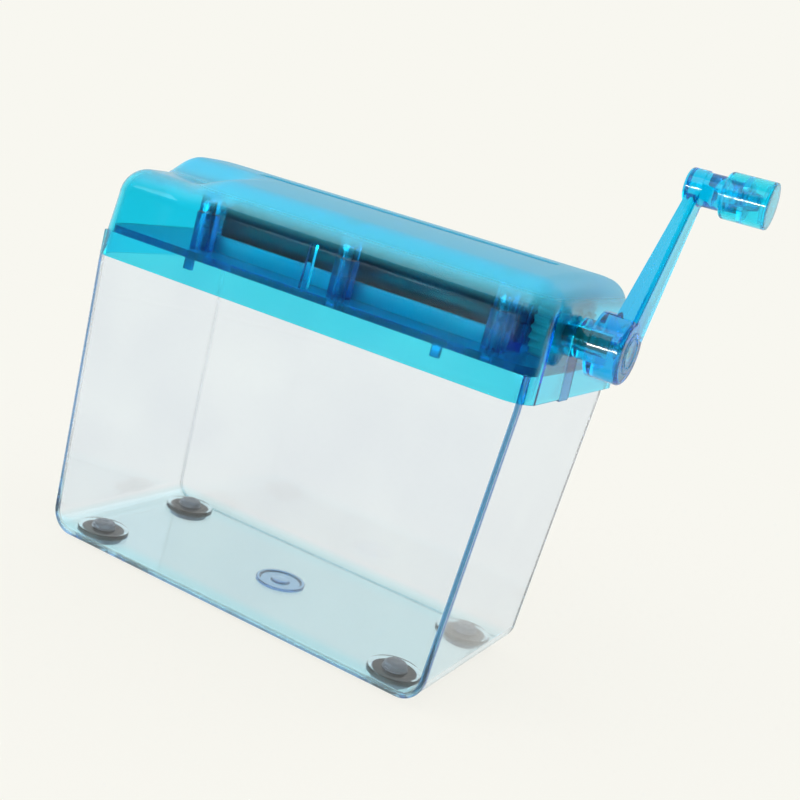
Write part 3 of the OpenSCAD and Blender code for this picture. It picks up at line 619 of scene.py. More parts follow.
class Finish(Enum):
    """The finishes of the shredder's pieces."""

    COVER = TintedPlastic("cover_blue", (0.16, 0.88, 1.0), (0.0, 0.86, 0.99), 330, 0.04, 0.45,
                          haze=(0.05, 0.7, 0.97))
    FRAME = TintedPlastic("frame_blue", (0.04, 0.52, 0.9), (0.0, 0.72, 0.95), 200, 0.12, 0.3, 0.85)
    CRANK = TintedPlastic("crank_blue", (0.004, 0.9, 1.0), (0.0, 0.86, 0.985), 300, 0.07, 0.1, 0.95)
    GUARD = TintedPlastic("guard_blue", (0.0, 0.78, 1.0), (0.1, 0.6, 0.9), 300, 0.3, 0.2, 0.12)
    # The bin's last colour is a painted dark-blue shade for its marked faces, in place of the dark line that
    # light makes along its clear front corner.
    BIN = TintedPlastic("bin_clear", (0.93, 0.945, 0.975), (0.2, 0.63, 0.93), 24, 0.03, 0.32,
                        floor_tint=(0.73, 0.95, 1.0), edge_shade_tint=(0.01, 0.22, 0.64))
    BLACK = SolidPlastic("comb_black", (0.012, 0.014, 0.04), (0.018, 0.02, 0.055), 0.38, 0.00002, 0.5)
    RUBBER = SolidPlastic("foot_rubber", (0.07, 0.095, 0.14), (0.11, 0.135, 0.18), 0.55, 0.00006, 0.3)
    GREY = SolidPlastic("cap_grey", (0.30, 0.35, 0.40), (0.24, 0.29, 0.34), 0.3)
    NYLON = SolidPlastic("gear_nylon", (0.78, 0.79, 0.77), (0.70, 0.71, 0.69), 0.42)
    DARK_STEEL = TurnedSteel("oiled_steel", (0.045, 0.047, 0.05), (0.08, 0.084, 0.09), 0.32)
    ZINC = TurnedSteel("zinc_steel", (0.62, 0.63, 0.64), (0.48, 0.49, 0.51), 0.3)


class Dresser:
    """Makes each finish once, puts it on pieces and hides the frame nodes that each piece replaces."""

    def __init__(self) -> None:
        """Starts with no material made."""
        self.made: dict[Finish, bpy.types.Material] = {}

    def material(self, finish: Finish) -> bpy.types.Material:
        """The finish's material, made at its first use.

        Args:
            finish: The finish.

        Returns:
            Its material.
        """
        if finish not in self.made:
            self.made[finish] = finish.value.material()
        return self.made[finish]

    def piece(self, piece: Piece, finish: Finish, body: str, stands_for: Sequence[str] = (),
              slot: str | None = None, smooth: float = 30) -> None:
        """Dresses a finished piece and fixes it to its body.

        Args:
            piece: A mesh object.
            finish: What it is made of.
            body: The body that it rides on.
            stands_for: The frame nodes that it replaces.
            slot: Not used.
            smooth: Largest angle between faces that still shades smooth, in degrees.
        """
        Bench.settle(piece)
        piece.data.materials.clear()
        piece.data.materials.append(self.material(finish))
        Bench.smooth(piece, smooth)
        if stands_for:
            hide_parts(*stands_for)
        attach(piece, body)
        log.info("piece %s: %s on %s, %d faces", piece.name, finish.name, body, len(piece.data.polygons))


@dataclass
class Group:
    """A group of pieces, with the dresser that finishes them."""

    dresser: Dresser


# -------------------- the bin


@dataclass
class Bin(Group):
    """The clear waste bin, with the pads over its feet and the disc in its floor."""

    base_l: float = 153.5
    base_w: float = 74.7
    base_y: float = -5.0
    rim_l: float = 163.2
    rim_w: float = 76.8
    rim_y: float = -2.8
    stand: float = 2.0
    height: float = 109.3
    band: float = 11.0
    wall: float = 1.8
    floor: float = 2.0
    end_curve: float = 8.0
    left_edge: float = 6.6
    right_edge: float = 2.0
    foot_edge: float = 6.6
    pad_r: float = 9.2
    pad_h: float = 1.6
    foot_r: float = 7.5
    pocket: float = 1.4
    stem_r: float = 2.3
    foot_x: float = 62.1
    foot_y: float = 25.85
    foot_gap: float = 0.05
    gate_r: float = 9.0
    gate_share: float = 0.7
    shade_corner_in: float = 3.0

    def foot_places(self) -> dict[str, Vector]:
        """Where the four feet stand, by the name of their frame node."""
        return {f"foot_{depth}_{side}": spot(x * self.foot_x, self.base_y + y * self.foot_y, 0)
                for depth, y in (("front", -1), ("back", 1)) for side, x in (("left", -1), ("right", 1))}

    def shell(self) -> Piece:
        """The walls and the floor, with rounded ends and a softened rim.

        Returns:
            The bare bin.
        """
        top, low = self.stand + self.height, (self.stand + 1) * MM

        def side(e: bmesh.types.BMEdge) -> bool:
            """Whether an edge parts the front or the back from another face."""
            return len(e.link_faces) == 2 and sum(abs(f.normal.y) > FACING for f in e.link_faces) == 1

        def upright(e: bmesh.types.BMEdge) -> bool:
            """Whether an edge is one of the upright corners."""
            return side(e) and abs(e.verts[0].co.x - e.verts[1].co.x) < abs(e.verts[0].co.z - e.verts[1].co.z)

        bin_ = Bench.block("bin_shell", spot(-self.rim_l / 2, self.rim_y - self.rim_w / 2, self.stand),
                           spot(self.rim_l / 2, self.rim_y + self.rim_w / 2, top))
        Bench.edit(bin_, "VERT", True)
        bpy.ops.mesh.bisect(plane_co=spot(0, 0, top - self.band), plane_no=(0, 0, 1))
        Bench.pick(bin_, "verts", lambda v: v.co.z < low)
        bpy.ops.transform.resize(value=(self.base_l / self.rim_l, self.base_w / self.rim_w, 1),
                                 center_override=spot(0, self.rim_y, self.stand))
        bpy.ops.transform.translate(value=(0, (self.base_y - self.rim_y) * MM, 0))
        bpy.ops.mesh.select_mode(type="FACE")
        Bench.pick(bin_, "faces", lambda f: f.normal.z > FACING)
        bpy.ops.mesh.delete(type="FACE")
        bpy.ops.mesh.select_mode(type="EDGE")
        Bench.pick(bin_, "edges", lambda e: all(v.co.z < low for v in e.verts)
                   and abs(e.verts[0].co.x - e.verts[1].co.x) < MM)
        bpy.ops.mesh.bevel(offset=self.end_curve * MM, segments=10, profile=0.5, affect="EDGES")
        middle = spot(0, 0, 0).x
        for radius, test in ((self.left_edge, lambda e: upright(e) and e.verts[0].co.x < middle),
                             (self.right_edge, lambda e: upright(e) and e.verts[0].co.x > middle),
                             (self.foot_edge, lambda e: side(e) and not upright(e))):
            bpy.ops.mesh.select_all(action="DESELECT")
            Bench.pick(bin_, "edges", test)
            bpy.ops.transform.edge_bevelweight(value=radius / self.left_edge)
        Bench.clear()
        Bench.modify(bin_, "BEVEL", width=self.left_edge * MM, segments=7, limit_method="WEIGHT")
        Bench.modify(bin_, "SOLIDIFY", thickness=self.wall * MM, offset=-1, use_even_offset=True)
        return Bench.ease_edges(bin_, 0.5, 3, 50)

    def pads(self) -> Piece:
        """The raised pads that stiffen the floor over the feet.

        Returns:
            All four as one piece.
        """
        r, h = self.pad_r, self.pad_h
        outline = ((-0.6, 0), (-0.6, r), (h - 0.5, r), (h - 0.15, r - 0.15), (h, r - 0.5), (h, 0))
        pad = Bench.turned("pad", outline, mm(0, 0, self.stand + self.floor))
        return Bench.repeat(pad, self.foot_places().values(), "pads")

    def sockets(self) -> Piece:
        """What is cut away for the feet: their pockets and the holes for their stems.

        Returns:
            All four as one piece.
        """
        seat, over = self.stand + self.pocket, self.stand + self.floor + self.pad_h + 1
        wide, narrow = self.foot_r + self.foot_gap, self.stem_r + self.foot_gap
        outline = ((-1, 0), (-1, wide), (seat, wide), (seat, narrow), (over, narrow), (over, 0))
        return Bench.repeat(Bench.turned("socket", outline), self.foot_places().values(), "sockets")

    def gate_disc(self) -> Piece:
        """The raised ring and the small boss where the plastic ran into the mould.

        Returns:
            The piece.
        """
        r = self.gate_r
        outline = ((-0.6, 0), (-0.6, r), (0.55, r), (0.8, r - 0.3), (0.8, r - 1.1), (0.2, r - 1.8),
                   (0.2, r - 5.4), (0.7, r - 5.8), (0.9, r - 6.4), (0.9, 0))
        return Bench.turned("gate_disc", outline, self.gate())

    def gate(self) -> Vector:
        """The middle of the floor's upper face."""
        return spot(0, self.base_y, self.stand + self.floor)

    def edge_shade_share(self, centre: Vector, normal: Vector) -> float:
        """How far a face takes the painted dark-blue edge shade: wholly in the front right corner, partly on
        the raised disc.

        Args:
            centre: The face's middle, in metres.
            normal: Its direction.

        Returns:
            A share of 0 to 1.
        """
        near = self.shade_corner_in
        away = centre - spot(self.base_l / 2 - near, self.base_y - self.base_w / 2 + near, self.stand + near)
        # Painted shade: the front right corner's faces get the full dark-blue line that light makes along the
        # clear edge.
        if away.x > 0 > away.y and away.z > 0 and 0.1 < abs(normal.y) < 0.97 and abs(normal.z) < 0.5:
            return 1.0
        rise = centre - self.gate()
        # The raised disc takes the same painted shade at a lower share.
        return self.gate_share if rise.z > MM / 20 and rise.length < (self.gate_r + 0.1) * MM else 0.0

    def build(self) -> None:
        """Makes the bin and fixes it to the base."""
        bin_ = self.shell()
        Bench.unite(bin_, self.pads())
        Bench.unite(bin_, self.gate_disc())
        Bench.unite(bin_, self.sockets(), "DIFFERENCE")
        self.dresser.piece(bin_, Finish.BIN, "base", ("bin",))
        # Marks how much of the painted dark-blue edge shade each face takes.
        edge = bin_.data.attributes.new("edge", "FLOAT", "FACE")
        for face, mark in zip(bin_.data.polygons, edge.data):
            mark.value = self.edge_shade_share(face.center, face.normal)


@dataclass
class Feet(Group):
    """The four push-in rubber feet and the caps that hold them."""

    bin: Bin
    ring_in: float = 3.4
    barb: float = 3.4
    cap_r: float = 4.4
    cap_t: float = 0.5

    def foot(self) -> Piece:
        """One foot: a ringed sole, a disc, a stem and a barbed head.

        Returns:
            The piece.
        """
        b = self.bin
        seat = b.stand + b.pocket
        head = b.stand + b.floor + b.pad_h + self.cap_t
        outline = ((0.7, 0), (0.7, self.ring_in - 0.6), (0, self.ring_in), (0, b.foot_r - 0.9),
                   (0.3, b.foot_r - 0.3), (0.9, b.foot_r), (seat, b.foot_r), (seat, b.stem_r),
                   (head, b.stem_r), (head, self.barb), (head + 0.4, self.barb),
                   (head + 1.2, self.barb - 1.2), (head + 1.2, 0))
        return Bench.ease_edges(Bench.turned("foot", outline), 0.18, 2, 50)

    def cap(self) -> Piece:
        """The cap that holds one foot: a washer with a domed middle over the barbed head.

        Returns:
            The piece.
        """
        low = self.bin.stand + self.bin.floor + self.bin.pad_h
        top, hole, rim = low + self.cap_t, self.bin.stem_r + 0.1, self.barb + 0.05
        outline = ((low, hole), (low, self.cap_r), (low + 0.3, self.cap_r), (low + 0.5, self.cap_r - 0.4),
                   (top + 1, self.barb + 0.5), (top + 1.5, self.barb), (top + 1.7, self.barb - 1.2),
                   (top + 1.7, 0.9), (top + 1.5, 0), (top + 1.25, 0), (top + 1.25, self.barb - 1.2),
                   (top + 0.45, rim), (top - 0.05, rim), (top - 0.05, hole), (low, hole))
        return Bench.turned("foot_cap", outline)

    def build(self) -> None:
        """Makes the feet and their caps and fixes them to the base."""
        sole, cap = self.foot(), self.cap()
        for node, place in self.bin.foot_places().items():
            foot = Bench.copy(sole, place, node.replace("foot", "rubber_foot"))
            self.dresser.piece(foot, Finish.RUBBER, "base", (node,))
            holder = Bench.copy(cap, place, node.replace("foot", "foot_cap"))
            self.dresser.piece(holder, Finish.GREY, "base", slot=node)
        for spare in (sole, cap):
            bpy.data.objects.remove(spare, do_unlink=True)


# -------------------- the head


@dataclass
class Cover(Group):
    """The blue cover: an arch across, a grip scoop at its left end and a feed slot along its top."""

    half_l: float = 84.0
    half_w: float = 44.0
    low: float = 103.0
    crest: float = 141.6
    brow_in: float = 2.6
    arch_r: float = 230.0
    shoulder_r: float = 13.0
    end_r: float = 8.0
    corner_r: float = 8.8
    draft: float = 3.3
    wall: float = 1.6
    drop: float = 7.0
    shelf_l: float = 26.0
    slope_l: float = 18.0
    edge_r: float = 10.0
    back_y: float = 21.0
    rise: float = 17.0
    middle_x: float = 8.5
    slot_l: float = 115.7
    slot_y: float = -1.95
    slot_w: float = 6.0
    lip_t: float = 1.3
    lip_h: float = 7.0
    lip_round: float = 0.9
    post_xs: tuple[float, ...] = (-47.5, 8.5, 64.5)
    post_ys: tuple[float, ...] = (-30.5, 26.6)
    post_top: float = 126.2
    boss_r: float = 3.5
    screw_tip: float = 4.4
    screw_r: float = 1.35
    rib_t: float = 1.2
    rib_z: float = 136.2
    wall_rib: tuple[float, float, float] = (0.4, 2.2, 5.7)
    wall_rib_z: tuple[float, float] = (114.0, 128.5)
    shaft_gap: float = 4.3
    gap_in: float = 5.0
    gap_over: float = 2.0
    lip_corner: float = 1.2
    slot_corner: float = 1.6
    ease_reach: float = 1.6
    side_steps: int = 5
    shoulder_steps: int = 14
    top_steps: int = 18
    turn_steps: int = 12
    slope_steps: int = 20
    body_steps: int = 24

    def half(self, scoop: float) -> list[tuple[float, float, float]]:
        """Half of the section, from the skirt to the crest.

        Args:
            scoop: 0 for the full arch, 1 for the scoop's shelf.

        Returns:
            For each point its depth, its height and the angle of its outward direction.
        """
        brow = self.half_w - self.brow_in
        centre = self.crest - self.arch_r
        in_y = brow - self.shoulder_r
        in_z = centre + math.sqrt((self.arch_r - self.shoulder_r) ** 2 - in_y ** 2)
        start = math.degrees(math.atan2(in_z - centre, in_y))
        shelf = self.crest - self.drop
        edge_y, edge_z = brow - self.edge_r, shelf - self.edge_r
        arch, low = [], []
        for k in range(self.side_steps):
            f = k / self.side_steps
            arch.append((blend(self.half_w, brow, f), blend(self.low, in_z, f), 0.0))
            low.append((blend(self.half_w, brow, f), blend(self.low, edge_z, f), 0.0))
        for k in range(self.shoulder_steps + 1):
            a, b = start * k / self.shoulder_steps, 90 * k / self.shoulder_steps
            arch.append((in_y + self.shoulder_r * cosd(a), in_z + self.shoulder_r * sind(a), a))
            low.append((edge_y + self.edge_r * cosd(b), edge_z + self.edge_r * sind(b), b))
        for k in range(1, self.top_steps + 1):
            a, y = blend(start, 90, k / self.top_steps), edge_y * (1 - k / self.top_steps)
            top = centre + math.sqrt(self.arch_r ** 2 - y ** 2)
            arch.append((self.arch_r * cosd(a), centre + self.arch_r * sind(a), a))
            low.append((y, blend(shelf, top, ease((self.back_y - y) / self.rise)), 90.0))
        return [tuple(blend(p, q, scoop) for p, q in zip(here, there)) for here, there in zip(arch, low)]

    def section(self, x: float, inset: float) -> list[tuple[float, float]]:
        """The whole section at a place along the cover, drawn in by an inset, front to back.

        Args:
            x: The place, in millimetres from the cover's middle.
            inset: How far it is drawn in, in millimetres.

        Returns:
            For each point its depth and its height.
        """
        scoop = 1 - ease((x + self.half_l - self.shelf_l) / self.slope_l)
        front, back = ([(y - inset * cosd(a), z - inset * sind(a)) for y, z, a in self.half(share)]
                       for share in (scoop, 0))
        return [(-y, z) for y, z in front] + back[-2::-1]

    def stations(self) -> list[float]:
        """Where the sections stand along the cover: close together in the rounded ends and the scoop.

        Returns:
            Places in millimetres from the cover's middle, left to right.
        """
        turn = [self.corner_r * (1 - cosd(90 * k / self.turn_steps)) for k in range(self.turn_steps + 1)]
        start, end = -self.half_l + self.corner_r, self.half_l - self.corner_r
        slope_end = -self.half_l + self.shelf_l + self.slope_l
        shelf = [blend(start, slope_end, k / self.slope_steps) for k in range(1, self.slope_steps + 1)]
        body = [blend(slope_end, end, k / self.body_steps) for k in range(1, self.body_steps)]
        return [-self.half_l + t for t in turn] + shelf + body + [self.half_l - t for t in reversed(turn)]

    def form(self, name: str, inset: float = 0.0) -> Piece:
        """The cover's outer form as a skin that is open below, laid over a grid.

        Args:
            name: The piece's name.
            inset: How far the skin lies inside the outer surface, in millimetres.

        Returns:
            The skin, with closed ends.
        """
        stations, count = self.stations(), len(self.half(0)) * 2 - 1
        Bench.clear()
        bpy.ops.mesh.primitive_grid_add(x_subdivisions=len(stations) - 1, y_subdivisions=count - 1, size=0.1)
        skin = Bench.named(name)
        slope = math.tan(math.radians(self.draft)) / self.half_l
        base = self.crest - self.arch_r + math.sqrt((self.arch_r - self.shoulder_r) ** 2
                                                    - (self.half_w - self.brow_in - self.shoulder_r) ** 2)
        for j, x in enumerate(stations):
            deep = min(x + self.half_l, self.half_l - x)
            x *= 1 - inset / self.half_l
            flat = self.section(x, inset)
            tight = self.section(x, inset + end_inset(deep, self.corner_r))
            high = self.section(x, inset + end_inset(deep, self.end_r))
            for i in range(count):
                share = ease((flat[i][1] - base + self.shoulder_r) / self.shoulder_r / self.ease_reach)
                y, z = (blend(p, q, share) for p, q in zip(tight[i], high[i]))
                if i in (0, count - 1):
                    z = self.low
                skin.data.vertices[i * len(stations) + j].co = spot(x * (1 - (z - self.low) * slope), y, z)
        Bench.edit(skin, "EDGE")
        for column in (0, len(stations) - 1):
            bpy.ops.mesh.select_all(action="DESELECT")
            Bench.pick(skin, "edges", lambda e: all(v.index < count * len(stations)
                                                    and v.index % len(stations) == column for v in e.verts))
            bpy.ops.mesh.edge_face_add()
        Bench.seal()
        return skin

    def inner(self) -> Piece:
        """What stands inside: the lips of the feed slot, the screw bosses and the stiffening ribs.

        Returns:
            The piece.
        """
        half_l, half_w, over = self.slot_l / 2 + self.lip_t, self.slot_w / 2 + self.lip_t, self.crest + 3
        inside = Bench.block(
            "lips", spot(self.middle_x - half_l, self.slot_y - half_w, self.crest - self.lip_h),
            spot(self.middle_x + half_l, self.slot_y + half_w, over))
        Bench.ease_edges(inside, self.lip_corner, 3)
        parts = []
        for x in self.post_xs:
            for y in self.post_ys:
                parts.append(Bench.bar("boss", spot(x, y, self.post_top), spot(x, y, over), self.boss_r, 32))
            parts.append(Bench.block("rib", spot(x - self.rib_t / 2, -self.half_w, self.rib_z),
                                     spot(x + self.rib_t / 2, self.half_w, over)))
        x, thick, deep = self.wall_rib
        parts.append(Bench.block("wall_rib", spot(x - thick / 2, -self.half_w, self.wall_rib_z[0]),
                                 spot(x + thick / 2, deep - self.half_w, self.wall_rib_z[1])))
        for part in parts:
            Bench.unite(inside, part)
        limit = self.form("limit", self.wall / 2)
        Bench.edit(limit, "EDGE")
        Bench.pick(limit, "edges", lambda e: len(e.link_faces) == 1)
        bpy.ops.mesh.edge_face_add()
        Bench.seal()
        return Bench.unite(inside, limit, "INTERSECT")

    def slot(self) -> Piece:
        """What is cut away for the paper: a straight slot that opens out in a rounded mouth.

        Returns:
            The piece.
        """
        half_l, half_w = self.slot_l / 2, self.slot_w / 2
        mouth = self.crest - self.lip_round
        slot = Bench.block(
            "slot", spot(self.middle_x - half_l, self.slot_y - half_w, self.crest - 2 * self.lip_h),
            spot(self.middle_x + half_l, self.slot_y + half_w, mouth))
        Bench.edit(slot, "EDGE")
        Bench.pick(slot, "edges", lambda e: abs(e.verts[0].co.z - e.verts[1].co.z) > MM)
        bpy.ops.mesh.bevel(offset=self.slot_corner * MM, segments=4, affect="EDGES")
        bpy.ops.mesh.select_mode(type="FACE")
        Bench.pick(slot, "faces", lambda f: f.normal.z > FACING)
        wide, turn = 0.0, 18
        for angle in range(turn, 91, turn):
            step = self.lip_round * (sind(angle) - sind(angle - turn))
            grown = self.lip_round * (1 - cosd(angle))
            bpy.ops.mesh.extrude_region_move(TRANSFORM_OT_translate={"value": (0, 0, step * MM)})
            bpy.ops.transform.resize(
                value=((half_l + grown) / (half_l + wide), (half_w + grown) / (half_w + wide), 1),
                center_override=spot(self.middle_x, self.slot_y, self.crest))
            wide = grown
        bpy.ops.mesh.extrude_region_move(TRANSFORM_OT_translate={"value": (0, 0, 3 * MM)})
        Bench.clear()
        return slot

    def build(self) -> None:
        """Makes the cover and fixes it to the head."""
        cover = self.form("cover_shell")
        Bench.modify(cover, "SOLIDIFY", thickness=self.wall * MM, offset=-1, use_even_offset=True)
        Bench.unite(cover, self.inner())
        Bench.unite(cover, self.slot(), "DIFFERENCE")
        for x in self.post_xs:
            for y in self.post_ys:
                hole = Bench.bar("hole", spot(x, y, self.post_top - 1),
                                 spot(x, y, self.post_top + self.screw_tip), self.screw_r, 20)
                Bench.unite(cover, hole, "DIFFERENCE")
        near, far = self.half_l - self.gap_in, self.half_l + self.gap_over
        gap = Bench.bar("gap", spot(near, SHAFT_Y, SHAFT_Z), spot(far, SHAFT_Y, SHAFT_Z), self.shaft_gap)
        way = Bench.block("way", spot(near, SHAFT_Y - self.shaft_gap, self.low - self.gap_over),
                          spot(far, SHAFT_Y + self.shaft_gap, SHAFT_Z))
        Bench.unite(cover, Bench.unite(gap, way), "DIFFERENCE")
        self.dresser.piece(cover, Finish.COVER, "head", ("cover",), smooth=CAST_ANGLE)


@dataclass
class Castings(Group):
    """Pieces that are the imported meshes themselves, copied, shaded and dressed."""

    body: str
    ending: str
    finishes: dict[Finish, Sequence[str]]

    def build(self) -> None:
        """Makes the pieces and fixes them to their body."""
        for finish, nodes in self.finishes.items():
            for node in nodes:
                piece = Bench.cast(node, f"{node}_{self.ending}")
                self.dresser.piece(piece, finish, self.body, (node,), smooth=CAST_ANGLE)


@dataclass
class Fasteners(Group):
    """Pan-head screws with a cross recess, modelled once and copied to their places."""

    cover: Cover
    head_r: float = 2.2
    head_h: float = 1.5
    shank_r: float = 1.2
    pitch: float = 0.8
    cross: tuple[float, float] = (2.4, 0.55)
    cross_deep: float = 0.8
    comb_l: float = 3.8
    comb_xs: tuple[float, ...] = (-36.35, 8.5, 53.35)
    comb_ys: tuple[float, ...] = (-22.0, 18.1)
    comb_z: float = 115.3
    cap_l: float = 12.0
    cap_xs: tuple[float, ...] = (-52.6, 66.85)
    cap_ys: tuple[float, ...] = (-18.2, 14.3)
    cap_z: float = 129.5
    cover_l: float = 16.9
    cover_z: float = 113.0
    crank_l: float = 8.0
    crank_x: float = 97.0

    def screw(self, length: float) -> Piece:
        """One screw, with its head's seat at the origin and its shank pointing down.

        Args:
            length: Length of the shank, in millimetres.

        Returns:
            The screw.
        """
        outline = [(self.head_h, 0), (self.head_h, self.head_r * 0.45),
                   (self.head_h * 0.82, self.head_r * 0.8), (self.head_h * 0.4, self.head_r),
                   (0, self.head_r), (0, self.shank_r)]
        depth = -0.6
        while depth > -length + 1:
            outline += [(depth, self.shank_r * 0.84), (depth - self.pitch / 2, self.shank_r)]
            depth -= self.pitch
        outline += [(-length, self.shank_r * 0.5), (-length, 0)]
        screw = Bench.turned("screw", outline, steps=24)
        for x, y in (self.cross, self.cross[::-1]):
            low, high = mm(-x / 2, -y / 2, self.head_h - self.cross_deep), mm(x / 2, y / 2, self.head_h + 1)
            Bench.unite(screw, Bench.block("slot", low, high), "DIFFERENCE")
        return screw

    def build(self) -> None:
        """Makes all the screws, each set as one piece."""
        upright, down = Matrix.Identity(4), Matrix.Rotation(math.pi, 4, "X")
        sideways = Matrix.Rotation(math.pi / 2, 4, "Y")
        posts = self.cover.post_xs, self.cover.post_ys
        for node, ending, body, length, xs, ys, z, turn in (
                ("comb_screws", "set", "head", self.comb_l, self.comb_xs, self.comb_ys, self.comb_z, upright),
                ("cap_screws", "set", "head", self.cap_l, self.cap_xs, self.cap_ys, self.cap_z, upright),
                ("cover_screws", "set", "head", self.cover_l, *posts, self.cover_z, down),
                ("crank_screw", "head", "drive", self.crank_l,
                 (self.crank_x,), (SHAFT_Y,), SHAFT_Z, sideways)):
            screw = self.screw(length)
            screw.data.transform(turn)
            screws = Bench.repeat(screw, [spot(x, y, z) for x in xs for y in ys], f"{node}_{ending}")
            self.dresser.piece(screws, Finish.ZINC, body, (node,), smooth=SCREW_ANGLE)


# -------------------- what turns


@dataclass
class Crank(Group):
    """The crank with its hub cap, and the knob that turns on its end."""

    hub_end: float = 100.07
    recess: float = 1.7
    cap_r: float = 6.6
    knob_y: float = 17.168
    knob_z: float = 175.977
    knob_r: float = 7.5
    knob_x: float = 106.47
    knob_end: float = 121.57
    cap_t: float = 1.1
    wall: float = 1.3
    journal_r: float = 5.06
    pin_r: float = 2.56
    front_t: float = 1.4
    flange_x: float = 112.47
    flange_t: float = 1.8
    sides: int = 64

    def hub_cap(self) -> Piece:
        """The disc that closes the hub, with a turned ring and a dished middle.

        Returns:
            The piece.
        """
        r, end = self.cap_r, self.recess + 0.2
        outline = ((0, 0), (0, r - 0.3), (0.3, r), (end - 0.45, r), (end - 0.12, r - 0.15), (end, r - 0.5),
                   (end, r - 1.3), (end - 0.35, r - 1.55), (end - 0.35, r - 1.9), (end, r - 2.2),
                   (end - 0.1, r - 4.2), (end - 0.25, 0))
        foot = spot(self.hub_end - self.recess, SHAFT_Y, SHAFT_Z)
        return Bench.turned("hub_cap_disc", outline, foot, OUTWARD, self.sides)

    def knob_shell(self) -> Piece:
        """The knob's body: a thin barrel with a front ring and an inner flange for the snap pin.

        Returns:
            The piece.
        """
        r, inner = self.knob_r, self.knob_r - self.wall
        body = self.knob_end - self.cap_t - self.knob_x
        flange = self.flange_x - self.knob_x
        outline = ((0, self.journal_r), (0, r - 1.1), (0.15, r - 0.65), (0.5, r - 0.25), (1.1, r), (body, r),
                   (body, inner), (flange + self.flange_t, inner), (flange + self.flange_t, self.pin_r),
                   (flange, self.pin_r), (flange, inner), (self.front_t, inner),
                   (self.front_t, self.journal_r), (0, self.journal_r))
        foot = spot(self.knob_x, self.knob_y, self.knob_z)
        return Bench.turned("knob_barrel", outline, foot, OUTWARD, self.sides)

    def knob_cap(self) -> Piece:
        """The knob's end cap: a slightly domed disc with a plug ring behind it.

        Returns:
            The piece.
        """
        r, inner, t = self.knob_r, self.knob_r - self.wall - 0.05, self.cap_t
        outline = ((0.15, 0), (0.15, inner - 1), (-1.2, inner - 1), (-1.2, inner), (0, inner), (0, r),
                   (t - 0.5, r), (t - 0.15, r - 0.15), (t - 0.04, r - 0.5), (t, r - 2.5), (t, 0))
        foot = spot(self.knob_end - t, self.knob_y, self.knob_z)
        return Bench.turned("knob_end_cap", outline, foot, OUTWARD, self.sides)

    def build(self) -> None:
        """Makes the crank and the knob and fixes them to their bodies."""
        arm = Bench.cast("crank_arm", "crank_moulding")
        self.dresser.piece(arm, Finish.CRANK, "drive", ("crank_arm",), smooth=CAST_ANGLE)
        self.dresser.piece(self.hub_cap(), Finish.CRANK, "drive", ("hub_cap",))
        self.dresser.piece(self.knob_shell(), Finish.CRANK, "knob", ("knob",))
        self.dresser.piece(self.knob_cap(), Finish.CRANK, "knob", ("knob_cap",))


# -------------------- studio


@dataclass(frozen=True)
class Lamp:
    """A soft lamp that looks at a point: lengths in metres, power in watts."""

    name: str
    place: Point
    aim: Point
    size: tuple[float, float]
    power: float

    def hang(self) -> None:
        """Adds the lamp to the scene."""
        data = bpy.data.lights.new(self.name, "AREA")
        data.shape = "RECTANGLE"
        data.size, data.size_y = self.size
        data.energy = self.power
        lamp = bpy.data.objects.new(self.name, data)
        bpy.context.scene.collection.objects.link(lamp)
        lamp.location = self.place
        lamp.rotation_euler = (Vector(self.aim) - Vector(self.place)).to_track_quat("-Z", "Y").to_euler()


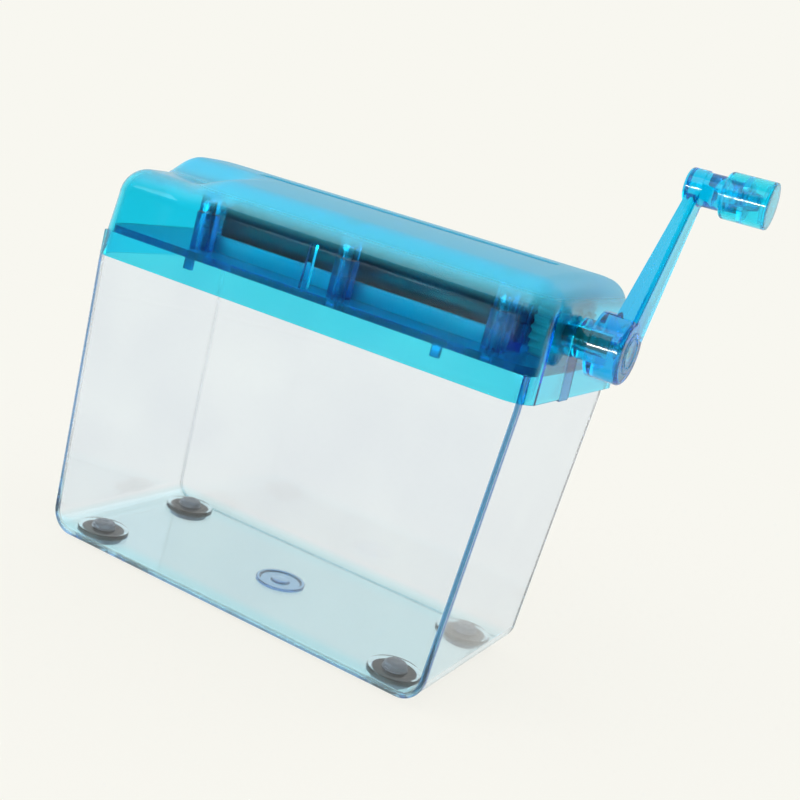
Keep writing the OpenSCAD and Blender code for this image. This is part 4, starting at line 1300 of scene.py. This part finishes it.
@dataclass
class Studio:
    """The pale floor, the soft lamps and the camera."""

    eye: Point = (178.327, -374.253, 172.525)
    right: Point = (0.850608, 0.461572, 0.25183)
    up: Point = (-0.321086, 0.076708, 0.943938)
    forward: Point = (-0.416378, 0.88378, -0.213452)
    lens: float = 55.197
    sensor: float = 36
    shift: tuple[float, float] = (0.011544, -0.006983)
    floor_colour: Colour = (0.92, 0.91, 0.855)
    sky: Colour = (0.938, 0.930, 0.871)
    floor_glow: float = 0.88
    floor_fade: tuple[float, float] = (0.2, 0.5)
    floor_size: float = 12
    floor_z: float = -0.0002
    light: float = 0.86
    bright_side: Point = (-0.40, 0.84, 0.37)
    dark_side: float = 0.06
    side_fade: tuple[float, float] = (-0.35, 0.75)
    bounces: int = 64
    inner_bounces: int = 40
    pass_bounces: int = 16
    lamps: tuple[Lamp, ...] = (
        Lamp("key", (-0.5, -0.9, 1.1), (0, 0, 0.08), (0.9, 0.9), 3.5),
        Lamp("rim", (0.5, 0.9, 0.9), (0, 0, 0.1), (0.8, 0.8), 2),
        Lamp("strip", (-0.4, -1.0, 0.045), (0, 0, 0.12), (1.5, 0.05), 15),
        Lamp("streak", (-0.52, -1.0, 0.193), (-0.05, 0, 0.124), (0.46, 0.006), 0.02))

    def camera(self) -> None:
        """Adds the camera and makes it the scene's own."""
        data = bpy.data.cameras.new("camera")
        data.lens = self.lens
        data.sensor_width = self.sensor
        data.clip_start = 0.01
        data.shift_x, data.shift_y = self.shift
        camera = bpy.data.objects.new("camera", data)
        bpy.context.scene.collection.objects.link(camera)
        axes = Matrix((self.right, self.up, tuple(-c for c in self.forward))).transposed()
        camera.matrix_world = Matrix.Translation(mm(*self.eye)) @ axes.to_4x4()
        bpy.context.scene.camera = camera

    def floor(self) -> None:
        """Adds the plain floor, which fades into the background away from the shredder."""
        Bench.clear()
        bpy.ops.mesh.primitive_plane_add(size=self.floor_size, location=(0, 0, self.floor_z))
        plane = bpy.context.object
        plane.name = "floor"
        n = Nodes("floor")
        near = n.add("BsdfPrincipled", IOR=1.4, Specular_IOR_Level=0.05, Roughness=0.9,
                     Base_Color=(*self.floor_colour, 1))
        far = n.add("Emission", Color=(*self.sky, 1))
        away = n.add("VectorMath", n.place(), operation="LENGTH").outputs["Value"]
        ground = n.between(n.spread(away, self.floor_glow, 1, *self.floor_fade, True), near, far)
        plane.data.materials.append(n.finish(ground))

    def world(self) -> None:
        """Lights the scene evenly, shows a pale background, and lets gloss mirror a room darker in front."""
        n = Nodes("studio", world=True)
        bpy.context.scene.world = n.owner
        seen = n.add("Background", Color=(*self.sky, 1))
        light = n.add("Background", Color=(1, 1, 1, 1), Strength=self.light)
        way = n.add("TexCoord").outputs["Generated"]
        along = n.add("VectorMath", way, self.bright_side, operation="DOT_PRODUCT").outputs["Value"]
        mirror = n.add("Background", Color=(*self.sky, 1),
                       Strength=n.spread(along, self.dark_side, 1, *self.side_fade, True))
        path = n.add("LightPath").outputs
        plain = n.between(n.larger(path["Is Camera Ray"], path["Is Transmission Ray"]), light, seen)
        n.finish(n.between(path["Is Glossy Ray"], plain, mirror))

    def build(self) -> None:
        """Sets up the whole studio."""
        self.camera()
        self.floor()
        self.world()
        for lamp in self.lamps:
            lamp.hang()
        scene = bpy.context.scene
        scene.view_settings.view_transform = "Standard"
        scene.cycles.max_bounces = self.bounces
        scene.cycles.glossy_bounces = scene.cycles.transmission_bounces = self.inner_bounces
        scene.cycles.transparent_max_bounces = self.pass_bounces
        log.info("studio ready")


def main() -> None:
    """Builds the shredder's looks piece by piece."""
    logging.basicConfig(level=logging.INFO, format="%(message)s")
    dresser = Dresser()
    bin_, cover = Bin(dresser), Cover(dresser)
    head = Castings(dresser, "head", "moulding", {
        Finish.FRAME: ("base_frame", "left_bearing_cap", "right_bearing_cap"),
        Finish.GUARD: ("front_guard", "rear_guard"),
        Finish.BLACK: ("front_comb", "rear_comb"),
        Finish.NYLON: ("front_left_bush", "front_right_bush", "rear_left_bush", "rear_right_bush")})
    rotors = (Castings(dresser, body, "turned", {
        Finish.DARK_STEEL: (f"{side}_shaft", f"{side}_cutters"), Finish.BLACK: (f"{side}_spacers",),
        Finish.ZINC: (f"{side}_clip",), Finish.NYLON: (gear,)})
        for body, side, gear in (("drive", "front", "drive_gear"), ("rear_cutter", "rear", "driven_gear")))
    groups = (bin_, Feet(dresser, bin_), cover, head, Fasteners(dresser, cover), *rotors, Crank(dresser))
    for group in groups:
        group.build()
    Studio().build()


if __name__ == "__main__":
    main()
